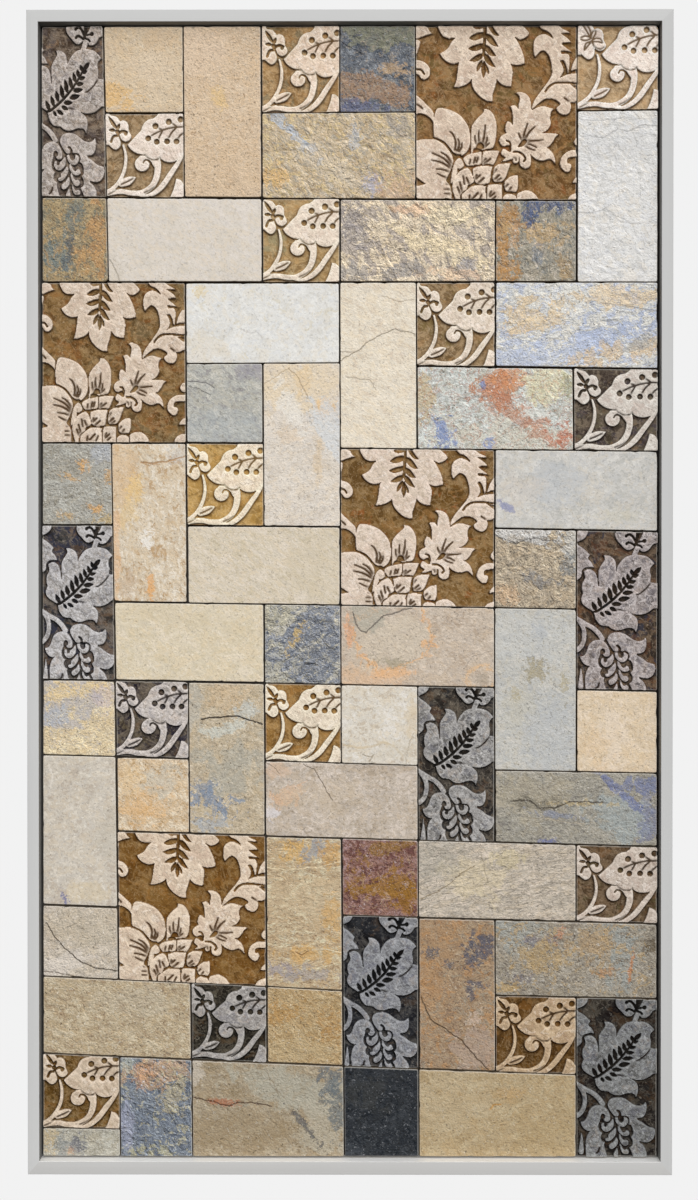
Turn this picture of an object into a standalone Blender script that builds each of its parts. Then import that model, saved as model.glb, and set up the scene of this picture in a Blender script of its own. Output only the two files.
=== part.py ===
"""A wall panel of tumbled stone tiles held in a flat metal tray frame.

Twenty-three of the tiles are carved in low relief with leaves, flowers and scrolls; the others are plain
blocks with broken edges.  The panel's back lies in the plane y = 0 with the origin at its centre, the
front faces -Y and +Z is up.  Sizes below are in millimetres and are turned into metres when they are used.
"""

import math

import bmesh
import bpy
from mathutils import Vector
from mathutils.geometry import delaunay_2d_cdt, intersect_line_line_2d

MM = 0.001

# ---------------------------------------------------------------- driving sizes (mm)
PANEL_WIDTH = 840.0
PANEL_HEIGHT = 1516.0
FRAME_DEPTH = 35.0
SIDE_RAIL = 15.0
TOP_RAIL = 15.5
BOTTOM_RAIL = 17.0
REVEAL = 14.0           # how far the frame stands in front of the stones
BOARD_THICKNESS = 10.0
FIT_GAP = 0.3           # clearance between pieces that only touch
JOINT = 1.0             # open joint between neighbouring stones
ARRIS = 1.6             # broken edge of a plain stone
RELIEF = 2.8            # depth of the carved ground below the raised carving
CARVED_MARGIN = 1.2     # the raised carving stops this far inside a stone's edge
CARVED_PROUD = 0.6      # raised carving stands this far in front of a plain stone
OUTLINE_TOLERANCE = {"berry": 1.7, "fern": 1.5, "damask": 1.3}  # how closely corners follow a curve
SMALLEST_ISLAND = 50.0  # smallest raised or sunk area kept in the solid, in square mm
COLUMN_MODULE = 102.0   # full width of a carved design, for each column that it covers
BEDDING_OVERLAP = 0.15  # how far a bedded pair runs into each other at their shared joint
SETTING_STEP = 0.2      # difference in height between stones set by hand
PROUD_STONES = {"P27": 3.0}


STONE_FACE = FRAME_DEPTH - REVEAL
STONE_BED = BOARD_THICKNESS + FIT_GAP
MEETING_TOLERANCE = 1e-4  # points of an outline closer than this are one
STRAIGHTENING_ROUNDS = 60

# ---------------------------------------------------------------- setting out of the stones
# S: small carved stone, T: tall carved stone, L: large carved stone, P: plain stone.
SETTING_PLAN = """
T01 P01 P02 S01 P03 L01 L01 S02
T01 S03 P02 P04 P04 L01 L01 P05
P06 P07 P07 S04 P08 P08 P09 P05
L02 L02 P10 P10 P11 S05 P12 P12
L02 L02 P13 P14 P11 P15 P15 S06
P16 P17 S07 P14 L03 L03 P18 P18
T02 P17 P19 P19 L03 L03 P20 T03
T02 P21 P21 P22 P23 P23 P24 T03
P25 S08 P26 S09 P27 T04 P24 P28
P29 P30 P26 P31 P31 T04 P32 P32
P29 L04 L04 P33 P34 P35 P35 S10
P36 L04 L04 P33 T05 P37 P38 P38
P39 P39 S11 P40 T05 P37 S12 T06
S13 P41 P42 P42 P43 P44 P44 T06
P45 P41 P42 P42 P43 P44 P44 T06
"""

# Height of each course line at the left side, in the middle and at the right side of the panel.
COURSE_LINES = (
    (742.0, 742.0, 742.0),
    (628.0, 628.5, 632.5),
    (519.0, 516.0, 513.0),
    (407.0, 407.0, 407.0),
    (302.0, 299.0, 293.0),
    (198.0, 190.0, 186.0),
    (89.5, 87.5, 80.5),
    (-10.0, -15.5, -23.0),
    (-112.0, -119.5, -128.0),
    (-211.0, -222.5, -236.0),
    (-308.5, -321.0, -332.5),
    (-407.5, -422.0, -433.0),
    (-501.0, -521.5, -532.0),
    (-603.0, -620.5, -635.0),
    (-701.5, -707.0, -712.0),
    (-739.5, -739.5, -739.5),
)

# Place of each upright joint at the top, at mid height and at the bottom of the panel.
COLUMN_LINES = (
    (-403.3, -403.3, -403.3),
    (-323.0, -309.0, -301.0),
    (-218.0, -212.5, -206.0),
    (-115.5, -112.0, -108.0),
    (-13.0, -12.0, -7.0),
    (85.5, 88.5, 91.0),
    (192.0, 189.5, 192.0),
    (297.0, 296.5, 297.0),
    (403.3, 403.3, 403.3),
)

# Stones cut a little large or small move a crossing of the lines: (course, column): (right, up).
UNEVEN_CUTS = {
    (4, 4): (0.0, 2.5),
    (4, 7): (-4.0, 0.0),
    (5, 1): (0.0, 2.0),
    (5, 2): (0.0, 3.5),
    (5, 3): (0.0, 4.5),
    (5, 5): (0.0, -3.0),
    (5, 6): (0.0, -3.5),
    (5, 7): (-3.0, 0.0),
    (9, 6): (0.0, -3.0),
    (10, 2): (0.0, 3.0),
    (12, 3): (0.0, 1.5),
}

# Neighbouring plain stones bedded hard against each other.
BEDDED_PAIRS = (
    ("P01", "P02"), ("P05", "P12"), ("P06", "P07"), ("P08", "P09"), ("P10", "P13"),
    ("P15", "P18"), ("P16", "P17"), ("P19", "P21"), ("P25", "P29"), ("P33", "P40"),
    ("P36", "P39"), ("P26", "P30"), ("P28", "P32"), ("P37", "P38"),
)

# ---------------------------------------------------------------- colours
SHADES = {
    "cream": (0.66, 0.60, 0.50),
    "beige": (0.55, 0.48, 0.38),
    "tan": (0.48, 0.37, 0.25),
    "ochre": (0.50, 0.32, 0.12),
    "rust": (0.33, 0.14, 0.07),
    "slate": (0.12, 0.14, 0.17),
    "blue grey": (0.38, 0.41, 0.44),
    "pale grey": (0.58, 0.58, 0.57),
    "grey green": (0.40, 0.41, 0.34),
    "khaki": (0.40, 0.36, 0.27),
    "raised cream": (0.70, 0.64, 0.57),
    "raised grey": (0.56, 0.55, 0.54),
}
STONES_BY_SHADE = {
    "cream": "P07 P11 P14 P17 P19 P21 P25 P28 P44",
    "beige": "P01 P02 P16 P23 P27 P31",
    "tan": "P04 P20 P30 P39 P42 P36",
    "ochre": "P33 P37 P40",
    "rust": "P34",
    "slate": "P03 P22 P41 P43",
    "blue grey": "P13 P24",
    "pale grey": "P05 P10 P12 P15 P18 P45",
    "grey green": "P06 P35 P32 P38",
    "khaki": "P08 P09 P26 P29",
    "raised cream": "S01 S02 S03 S04 S05 S06 S07 S09 S10 S12 S13 L01 L02 L03 L04",
    "raised grey": "S08 S11 T01 T02 T03 T04 T05 T06",
}


# ---------------------------------------------------------------- outlines of the carving
# Outlines are drawn in per cent of the stone's width and height, measured from its top left corner.
def knots(text):
    """Points written as "across,down"; a "!" marks a sharp tip or notch."""
    found = []
    for word in text.split():
        sharp = word.endswith("!")
        across, down = word.rstrip("!").split(",")
        found.append((Vector((float(across), float(down))), sharp))
    return found


def spline_point(before, start, end, after, t):
    """A point on the Catmull-Rom curve from start to end."""
    return 0.5 * (
        2.0 * start
        + (end - before) * t
        + (2.0 * before - 5.0 * start + 4.0 * end - after) * t * t
        + (3.0 * start - before - 3.0 * end + after) * t * t * t
    )


def outline(text, steps=4):
    """A closed outline, smooth through its knots and broken at the sharp ones."""
    found = knots(text)
    count = len(found)
    points = []
    for i in range(count):
        start, start_sharp = found[i]
        end, end_sharp = found[(i + 1) % count]
        before = start if start_sharp else found[i - 1][0]
        after = end if end_sharp else found[(i + 2) % count][0]
        for step in range(steps):
            points.append(spline_point(before, start, end, after, step / steps))
    return points


def stem(text, widths, aspect, steps=4):
    """A stroke along a smooth line; its width follows the list of widths from end to end."""
    line = [point for point, sharp in knots(text)]
    along = []
    for i in range(len(line) - 1):
        before = line[max(i - 1, 0)]
        after = line[min(i + 2, len(line) - 1)]
        for step in range(steps):
            along.append(spline_point(before, line[i], line[i + 1], after, step / steps))
    along.append(line[-1])
    left, right = [], []
    for i, point in enumerate(along):
        ahead = along[min(i + 1, len(along) - 1)] - along[max(i - 1, 0)]
        run = Vector((ahead.x, ahead.y * aspect)).normalized()
        place = i / (len(along) - 1) * (len(widths) - 1)
        lower = min(int(place), len(widths) - 2)
        width = widths[lower] + (widths[lower + 1] - widths[lower]) * (place - lower)
        side = Vector((-run.y, run.x / aspect)) * width / 2.0
        left.append(point + side)
        right.append(point - side)
    return left + right[::-1]


def petal(base, tip, width, aspect, steps=5):
    """A pointed oval from its base to its tip."""
    base, tip = Vector(base), Vector(tip)
    ahead = Vector((tip.x - base.x, (tip.y - base.y) * aspect))
    side = Vector((-ahead.y, ahead.x / aspect)) / ahead.length
    near, far = [], []
    for step in range(steps + 1):
        t = step / steps
        half = width / 2.0 * math.sin(math.pi * t ** 0.85)
        middle = base.lerp(tip, t)
        near.append(middle + side * half)
        far.append(middle - side * half)
    return near + far[-2:0:-1]


def disc(centre, radius, aspect, sides=8):
    """A round boss or hole."""
    turn = 2.0 * math.pi / sides
    return [
        Vector((centre[0] + radius * math.cos(i * turn), centre[1] + radius * math.sin(i * turn) / aspect))
        for i in range(sides)
    ]


def berry_design():
    """Small stone: a berried leaf, a flower cut by the left edge and three stems."""
    raised = [
        outline("-2,3 7,2 13,3 16,6 17.5,9! 21,7.5 26,9.5 28.5,15 31.5,26 28.5,31.5 23,33 18,30.5!"
                " 17.5,36 14.5,41 10,42.5 5,40 -2,34"),
        stem("21,36 24,50 22.5,63 13,82 -2,93", (2.0, 4.5, 5.0, 6.0), 1.0),
        petal((13.5, 86.5), (37.5, 74.5), 9.5, 1.0),
        stem("-2,95 9,92.5 20,91.5 42,93 54,90 63,83 66.5,70 65.5,50", (5.0, 5.0, 6.5, 7.0, 9.0), 1.0),
        disc((45.3, 59.0), 9.5, 1.0, 10),
        stem("43,52 52,52 60,55.5", (6.0, 7.0, 7.0), 1.0),
        stem("48,96 60,93 72,83 87,63.5 102,43", (4.0, 7.5, 7.0, 5.0), 1.0),
        outline("90,76! 97,79 101,88 102,102! 81,102! 87,89"),
        outline("26.5,36.5! 37,26.5 44.5,20! 49,10.5 61,5.5 67,-2! 102,-2! 102,45! 93,54 81,57.2"
                " 69,51.5! 59,54.5 50,49.5 38,46.5"),
    ]
    sunk = [stem("58,67 57,58.5 52,55 47.5,58", (4.0, 3.0, 2.0), 1.0)]
    return raised, sunk


def fern_design():
    """Tall stone: a lobed leaf with a fern cut into it, above a flower in section."""
    raised = [
        outline("-2,-2! 16.5,-2! 13,4 5,6.6 -2,7.2"),
        outline("-2,9 8,10 18.5,15! 17,18 23.5,22.8! 10,23.5 7,29 -2,31.5"),
        outline("50,-2! 51,5 60,10 67,11.7 76,8! 77.5,-2!"),
        outline("86,-2! 78,7.5! 85,12.3 93,10 102,6 102,-2!"),
        stem("76.5,9 73.5,16", (5.0, 7.0), 2.0),
        outline("50.5,27! 55,20 66,15.2 82,14.6 98.5,19.8! 93,23.5 93.5,31 102,31.5! 102,47.8!"
                " 88,51 74,52.4! 78,57 75.5,63.3! 64,60.6 51,62 31,59 24,52! 14,48 7.5,42.5 10,39.3!"
                " 8.7,36 12,29.5 10.8,25.5! 19,24.3 26,28 28.7,34.5! 29,26 36.5,17.5 35.2,15.1! 46,16.5"),
        stem("-2,54 14,58.6 29,64 35,69", (5.0, 6.5, 7.0), 2.0),
        stem("6,57 12,64 9,71 -2,75.5", (5.0, 6.0, 6.0), 2.0),
        outline("40.5,68! 51,64.5 67,66.5 82,69.2 86.4,67.6! 86.5,74 74.7,77.1! 96.3,84! 94,90 78.5,91.6!"
                " 88.7,102! 69,102! 69,86 65,78 52,75.5 44.4,74.7"),
        outline("19.5,70.5 32,70 42,77 35,79.5 26.5,82 33.5,92 30,102! 14,102! 11,93 15.7,85.1! 4.3,79.8!"
                " 12,76"),
        outline("5,86! 8,97 8,102! 2.5,102! 2.5,97"),
    ]
    sunk = [stem("24,50.5 42,45.5 56,40 66,32.5 84,22.4", (5.0, 4.0, 3.0), 2.0)]
    return raised, sunk


def damask_design():
    """Large stone: a hanging leaf, an acanthus spray, a flower head and a bloom with a scaly heart."""
    hanging_leaf = outline(
        "14,-2! 15,5 20,8 24.7,7.7! 20,13 14.9,16.8! 19,21.5 27.5,20.9! 25.5,30 23.6,35.9! 30,34.5 34.3,31.2!"
        " 38,40 47.1,43.9! 48,37 49.8,31.2! 54,34.5 58.7,35.4! 59.5,27 57,21! 61,23 67,22.3! 65.5,15 60,6.5!"
        " 64.6,8.7 69.7,5.7 65,-2!")
    acanthus = outline(
        "73,-2! 84.7,8.5! 78.7,5.7 73,9.5 73.6,18.6! 79,15 84,25.8 79,36 71.4,48.6! 80,42.2 88.8,46!"
        " 87.5,49.6 92.5,51.4 95.5,46 98,44 102,42! 102,27.8! 88,31! 91.2,26 89.3,21! 94,27.9! 94.5,18"
        " 89.6,15.5! 96.1,15.8! 90.5,10.8! 95.5,10.4! 89,5! 94.9,4.8! 84,-2!")
    flower = outline(
        "61.6,39! 68,39.3 71.2,49.1! 78,46.5 85.3,48.1! 82.7,55 75.8,62.1! 88.2,62.3! 79.8,69.7! 85,74.5"
        " 86.2,79.3! 82,76.5 71.5,74.5! 70.5,80 66.5,81.5 62,78.5 52.6,78.1! 53,72 56,69.5 51.7,66 55.9,62!"
        " 56.5,55.3! 59.9,57.4! 58.2,46.5! 63.5,48.5!")
    upper_petal = outline("11.2,64.1! 10.8,54 13.5,48 24,50 32,58 33,68.8 28.1,74.9! 20.8,70.3")
    right_petal = outline("41.8,48! 48,51.5 49.7,60.5 47,70.5 34.8,73.2! 34,59.5")
    left_petal = outline("-2,66 10,65 18,68 23,74.4 22.4,81.2 20.8,91 22.5,102! -2,102!")
    heart = outline("29.3,77 31,74.6 51.5,71.9! 47.7,80 58.5,78.8! 54.5,89 62.8,85.5! 61,96.5 53,102! 23,102!"
                    " 23.5,88 31.4,81!")
    raised = [
        hanging_leaf,
        acanthus,
        flower,
        upper_petal,
        right_petal,
        left_petal,
        heart,
        outline("-2,-2! 5,-2! 10,5.2! 3,7.5 -2,8!"),
        outline("-2,20.9 5,21.5 8.9,27 5,31.4 -2,29!"),
        outline("-2,39 5,44.5 10.7,52 10.7,56.1! 5,51.5 -2,50!"),
        outline("95.5,26.9! 97.7,20.7 102,16! 102,24.5!"),
        outline("102,71! 96,71.2 90.5,76 90,81.5 94,83.5 97.2,79 95.5,75.5 102,75.3!"),
        outline("102,62! 98,66.5 102,70.5!"),
        outline("62.4,102! 62.5,96.7 68.6,94.3 77,102!"),
        outline("92,102! 96,96.7 102,95!"),
    ]
    sunk = [
        outline("42,-2! 43.3,-2! 43,18 41.4,30.5! 40.4,18"),
        outline("-2,86! 6,91! -2,93!"),
    ]
    return raised, sunk


DESIGNS = {"S": ("berry", berry_design), "T": ("fern", fern_design), "L": ("damask", damask_design)}


# ---------------------------------------------------------------- setting out
def read_plan():
    """Each stone's first and last course and column, from the setting plan."""
    spans = {}
    for course, row in enumerate(SETTING_PLAN.split("\n")[1:-1]):
        for column, code in enumerate(row.split()):
            first = spans.setdefault(code, [course, course, column, column])
            first[1] = course + 1
            first[3] = max(first[3], column + 1)
            first[2] = min(first[2], column)
    return spans


def bowed(line, t):
    """Value at t (-1 to 1) of the curve through a line's start, middle and end."""
    start, middle, end = line
    return middle + (end - start) / 2.0 * t + ((end + start) / 2.0 - middle) * t * t


def crossings(spans):
    """Where the course lines and the upright joints cross, with long stones kept straight."""
    half_height = PANEL_HEIGHT / 2.0
    half_width = PANEL_WIDTH / 2.0
    grid = {}
    for course, heights in enumerate(COURSE_LINES):
        for column, places in enumerate(COLUMN_LINES):
            x, z = places[1], heights[1]
            for _ in range(3):
                x = bowed(places, -z / half_height)
                z = bowed(heights, x / half_width)
            right, up = UNEVEN_CUTS.get((course, column), (0.0, 0.0))
            grid[course, column] = Vector((x + right, z + up))
    for _ in range(STRAIGHTENING_ROUNDS):
        for top, bottom, left, right in spans.values():
            for side in (
                [(top, c) for c in range(left, right + 1)],
                [(bottom, c) for c in range(left, right + 1)],
                [(r, left) for r in range(top, bottom + 1)],
                [(r, right) for r in range(top, bottom + 1)],
            ):
                start, end = grid[side[0]], grid[side[-1]]
                for key in side[1:-1]:
                    run = (end - start).normalized()
                    grid[key] = start + run * (grid[key] - start).dot(run)
    return grid


def stone_corners(span, grid):
    """Corners in order: top left, top right, bottom right, bottom left."""
    top, bottom, left, right = span
    return [grid[top, left], grid[top, right], grid[bottom, right], grid[bottom, left]]


def moved_in(corners, margins):
    """The four-sided outline with each side (top, right, bottom, left) moved in by its margin."""
    lines = []
    for i in range(4):
        start, end = corners[i], corners[(i + 1) % 4]
        run = (end - start).normalized()
        inward = Vector((run.y, -run.x)) * margins[i]
        reach = run * PANEL_HEIGHT
        lines.append((start + inward - reach, end + inward + reach))
    return [intersect_line_line_2d(*lines[i - 1], *lines[i]) for i in range(4)]


def shared_side(span, other):
    """Index of the side (top, right, bottom, left) on which another stone lies."""
    top, bottom, left, right = span
    if other[1] == top:
        return 0
    if other[2] == right:
        return 1
    if other[0] == bottom:
        return 2
    return 3


# ---------------------------------------------------------------- building helpers
def material_for(name, colour, roughness, metallic=0.0):
    material = bpy.data.materials.new(name)
    material.use_nodes = True
    shader = material.node_tree.nodes["Principled BSDF"]
    shader.inputs["Base Color"].default_value = (*colour, 1.0)
    shader.inputs["Roughness"].default_value = roughness
    shader.inputs["Metallic"].default_value = metallic
    return material


def add_object(name, bm, material, parent=None):
    bmesh.ops.recalc_face_normals(bm, faces=bm.faces)
    mesh = bpy.data.meshes.new(name)
    bm.to_mesh(mesh)
    bm.free()
    mesh.materials.append(material)
    made = bpy.data.objects.new(name, mesh)
    bpy.context.collection.objects.link(made)
    made.parent = parent
    return made


def ring_of(bm, corners, depth):
    """One vertex for each corner (x, z), in the plane y = -depth."""
    return [bm.verts.new((corner.x * MM, -depth * MM, corner.y * MM)) for corner in corners]


def join_rings(bm, rings):
    """Walls between rings of four, closed at both ends."""
    for lower, upper in zip(rings, rings[1:]):
        for i in range(4):
            j = (i + 1) % 4
            bm.faces.new((lower[i], lower[j], upper[j], upper[i]))
    bm.faces.new(rings[0])
    bm.faces.new(rings[-1])


def bar(name, outline_points, material, parent):
    """A straight frame bar whose mitred outline is drawn on the front."""
    bm = bmesh.new()
    join_rings(bm, [ring_of(bm, outline_points, 0.0), ring_of(bm, outline_points, FRAME_DEPTH)])
    return add_object(name, bm, material, parent)


# ---------------------------------------------------------------- plain stones
def plain_block(name, corners, margins, face, material, parent):
    """A block with broken front edges."""
    edge = moved_in(corners, margins)
    front = moved_in(edge, (ARRIS,) * 4)
    bm = bmesh.new()
    bed = ring_of(bm, edge, STONE_BED)
    shoulder = ring_of(bm, edge, face - ARRIS)
    join_rings(bm, [bed, shoulder, ring_of(bm, front, face)])
    return add_object(name, bm, material, parent)


def stone_face_depth(code):
    """Hand-set stones don't line up exactly: each sits a little in front of or behind its neighbours."""
    number = int(code[1:])
    return STONE_FACE + (number * 7 % 5 - 2) * SETTING_STEP + PROUD_STONES.get(code, 0.0)


def build_plain_stones(spans, grid, materials, parent):
    partners = dict(BEDDED_PAIRS)
    seconds = set(partners.values())
    for code in sorted(spans):
        if code[0] != "P" or code in seconds:
            continue
        corners = stone_corners(spans[code], grid)
        face = stone_face_depth(code)
        margins = [JOINT / 2.0] * 4
        if code not in partners:
            plain_block(f"plain_stone_{code}", corners, margins, face, materials[code], parent)
            continue
        mate = partners[code]
        margins[shared_side(spans[code], spans[mate])] = -BEDDING_OVERLAP
        name = f"plain_stones_{code}_{mate}"
        first = plain_block(name, corners, margins, face, materials[code], parent)
        mate_margins = [JOINT / 2.0] * 4
        mate_margins[shared_side(spans[mate], spans[code])] = -BEDDING_OVERLAP
        second = plain_block(
            f"mate_{mate}", stone_corners(spans[mate], grid), mate_margins,
            stone_face_depth(mate), materials[code], parent,
        )
        second.hide_render = True
        second.display_type = "WIRE"
        union = first.modifiers.new("bedded together", "BOOLEAN")
        union.operation = "UNION"
        union.solver = "EXACT"
        union.object = second


# ---------------------------------------------------------------- carved stones
def inside(point, polygon):
    """Even-odd test of a point in a polygon."""
    found = False
    for i in range(len(polygon)):
        a, b = polygon[i - 1], polygon[i]
        if (a.y > point.y) != (b.y > point.y):
            if point.x < (b.x - a.x) * (point.y - a.y) / (b.y - a.y) + a.x:
                found = not found
    return found


def triangulated(polygons):
    """Triangles of the plane with every polygon's outline as edges: (points, triangles)."""
    points, faces = [], []
    for polygon in polygons:
        faces.append(list(range(len(points), len(points) + len(polygon))))
        points.extend(polygon)
    made = delaunay_2d_cdt(points, [], faces, 1, MEETING_TOLERANCE)
    return made[0], made[2]


def region_loops(points, triangles, chosen):
    """Closed loops around the chosen triangles, each with the region on its left."""
    after = {}
    for index in chosen:
        corners = triangles[index]
        for i in range(len(corners)):
            a, b = corners[i], corners[(i + 1) % len(corners)]
            if (b, a) in after:
                del after[b, a]
            else:
                after[a, b] = True
    following = {}
    for a, b in after:
        following.setdefault(a, []).append(b)
    loops = []
    while following:
        start = next(iter(following))
        loop = [start]
        at = following[start].pop()
        if not following[start]:
            del following[start]
        while at != start:
            loop.append(at)
            ways = following[at]
            at, here = ways.pop(), at
            if not ways:
                del following[here]
        loops.append([points[i] for i in loop])
    return loops


def simplified(loop, tolerance):
    """The loop with only the corners its shape needs."""
    def keep(first, last):
        if last - first < 2:
            return []
        a, b = ring[first], ring[last]
        run = b - a
        worst, place = 0.0, None
        for i in range(first + 1, last):
            away = ring[i] - a
            if run.length > 1e-6:
                distance = abs(run.x * away.y - run.y * away.x) / run.length
            else:
                distance = away.length
            if distance > worst:
                worst, place = distance, i
        if worst <= tolerance:
            return []
        return keep(first, place) + [place] + keep(place, last)

    start = max(range(len(loop)), key=lambda i: (loop[i] - loop[0]).length)
    ring = loop[start:] + loop[:start + 1]
    opposite = max(range(len(ring)), key=lambda i: (ring[i] - ring[0]).length)
    kept = [0] + keep(0, opposite) + [opposite] + keep(opposite, len(ring) - 1)
    return [ring[i] for i in kept]


def area_of(loop):
    return sum(loop[i - 1].x * loop[i].y - loop[i].x * loop[i - 1].y for i in range(len(loop))) / 2.0


def placed(point, corners, crop):
    """A design point (per cent) on a stone, whose left part may be cut off."""
    across = (point.x / 100.0 - crop) / (1.0 - crop)
    down = point.y / 100.0
    top = corners[0].lerp(corners[1], across)
    bottom = corners[3].lerp(corners[2], across)
    return top.lerp(bottom, down)


def islands(code, corners, column, columns_wide):
    """Outlines of the raised carving on one stone."""
    kind, design = DESIGNS[code[0]]
    width = (corners[1] - corners[0] + corners[2] - corners[3]).length / 2.0
    crop = max(0.0, 1.0 - width / (columns_wide * COLUMN_MODULE)) if column == 0 else 0.0
    raised, sunk = design()
    raised = [[placed(p, corners, crop) for p in shape] for shape in raised]
    sunk = [[placed(p, corners, crop) for p in shape] for shape in sunk]
    field = moved_in(corners, (JOINT / 2.0 + CARVED_MARGIN,) * 4)
    points, triangles = triangulated(raised + sunk + [field])
    chosen = []
    for index, triangle in enumerate(triangles):
        middle = sum((points[i] for i in triangle), Vector((0.0, 0.0))) / len(triangle)
        if not inside(middle, field):
            continue
        if any(inside(middle, shape) for shape in sunk):
            continue
        if any(inside(middle, shape) for shape in raised):
            chosen.append(index)
    tolerance = OUTLINE_TOLERANCE[kind]
    loops = [simplified(loop, tolerance) for loop in region_loops(points, triangles, chosen)]
    return [loop for loop in loops if len(loop) > 2 and abs(area_of(loop)) > SMALLEST_ISLAND]


def carved_block(name, code, corners, column, columns_wide, material, parent):
    """A block with a sunk ground and flat-topped raised carving."""
    loops = islands(code, corners, column, columns_wide)
    edge = moved_in(corners, (JOINT / 2.0,) * 4)
    points, triangles = triangulated(loops + [edge])
    hills = [loop for loop in loops if area_of(loop) > 0.0]
    hollows = [loop for loop in loops if area_of(loop) < 0.0]
    raised = set()
    for index, triangle in enumerate(triangles):
        middle = sum((points[i] for i in triangle), Vector((0.0, 0.0))) / len(triangle)
        on_hill = any(inside(middle, loop) for loop in hills)
        if on_hill and not any(inside(middle, loop) for loop in hollows):
            raised.add(index)
    bm = bmesh.new()
    top_depth = STONE_FACE + CARVED_PROUD
    levels = (top_depth - RELIEF, top_depth)
    made = {}

    def vertex(index, level):
        if (index, level) not in made:
            point = points[index]
            made[index, level] = bm.verts.new((point.x * MM, -levels[level] * MM, point.y * MM))
        return made[index, level]

    sides = {}
    for index, triangle in enumerate(triangles):
        level = 1 if index in raised else 0
        bm.faces.new([vertex(i, level) for i in triangle])
        for i in range(len(triangle)):
            pair = (triangle[i], triangle[(i + 1) % len(triangle)])
            sides.setdefault(frozenset(pair), []).append((pair, level))
    rim = {}
    for uses in sides.values():
        if len(uses) == 2 and uses[0][1] != uses[1][1]:
            (a, b), level = uses[0]
            bm.faces.new((vertex(a, 0), vertex(b, 0), vertex(b, 1), vertex(a, 1)))
        if len(uses) == 1:
            (a, b), level = uses[0]
            rim[a] = b
    bed = {}
    for index in rim:
        point = points[index]
        bed[index] = bm.verts.new((point.x * MM, -STONE_BED * MM, point.y * MM))
    for a, b in rim.items():
        bm.faces.new((vertex(a, 0), vertex(b, 0), bed[b], bed[a]))
    start = next(iter(rim))
    around = [bed[start]]
    at = rim[start]
    while at != start:
        around.append(bed[at])
        at = rim[at]
    bm.faces.new(around)
    return add_object(name, bm, material, parent)


def build_carved_stones(spans, grid, materials, parent):
    for code in sorted(spans):
        if code[0] == "P":
            continue
        top, bottom, left, right = spans[code]
        kind = DESIGNS[code[0]][0]
        carved_block(
            f"{kind}_stone_{code}", code, stone_corners(spans[code], grid), left, right - left,
            materials[code], parent,
        )


# ---------------------------------------------------------------- frame and board
def build_frame(parent):
    metal = material_for("frame_metal", (0.62, 0.62, 0.61), 0.38, 0.9)
    half_width = PANEL_WIDTH / 2.0
    half_height = PANEL_HEIGHT / 2.0
    outer = [
        Vector((-half_width, half_height)), Vector((half_width, half_height)),
        Vector((half_width, -half_height)), Vector((-half_width, -half_height)),
    ]
    inner = [
        Vector((-half_width + SIDE_RAIL, half_height - TOP_RAIL)),
        Vector((half_width - SIDE_RAIL, half_height - TOP_RAIL)),
        Vector((half_width - SIDE_RAIL, -half_height + BOTTOM_RAIL)),
        Vector((-half_width + SIDE_RAIL, -half_height + BOTTOM_RAIL)),
    ]
    for i, name in enumerate(("frame_top", "frame_right", "frame_bottom", "frame_left")):
        j = (i + 1) % 4
        run = (outer[j] - outer[i]).normalized()
        shape = [outer[i], outer[j], inner[j], inner[i]]
        pulled = []
        for k, corner in enumerate(shape):
            back = run if k in (0, 3) else -run
            pulled.append(corner + back * FIT_GAP / 2.0)
        bar(name, pulled, metal, parent)
    board = [
        inner[0] + Vector((FIT_GAP, -FIT_GAP)), inner[1] + Vector((-FIT_GAP, -FIT_GAP)),
        inner[2] + Vector((-FIT_GAP, FIT_GAP)), inner[3] + Vector((FIT_GAP, FIT_GAP)),
    ]
    bm = bmesh.new()
    join_rings(bm, [ring_of(bm, board, 0.0), ring_of(bm, board, BOARD_THICKNESS)])
    add_object("backing_board", bm, material_for("backing_board", (0.10, 0.09, 0.08), 0.85), parent)


def stone_materials():
    materials = {}
    for shade, codes in STONES_BY_SHADE.items():
        material = material_for("stone_" + shade.replace(" ", "_"), SHADES[shade], 0.6)
        for code in codes.split():
            materials[code] = material
    return materials


def main():
    for thing in list(bpy.data.objects):
        bpy.data.objects.remove(thing, do_unlink=True)
    root = bpy.data.objects.new("stone_relief_panel", None)
    bpy.context.collection.objects.link(root)
    spans = read_plan()
    grid = crossings(spans)
    materials = stone_materials()
    build_frame(root)
    build_plain_stones(spans, grid, materials, root)
    build_carved_stones(spans, grid, materials, root)


main()
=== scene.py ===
"""Looks for a wall panel of tumbled and carved stone tiles in a satin metal tray frame.

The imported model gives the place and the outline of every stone.  Each stone is then cut again here as a
fine surface: the carved ones with leaves, berries, ferns and flower heads standing above a sunk ground,
the plain ones with their riven or honed faces and softened arrises.  Lengths are in millimetres until a
mesh is made.
"""

import math

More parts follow.
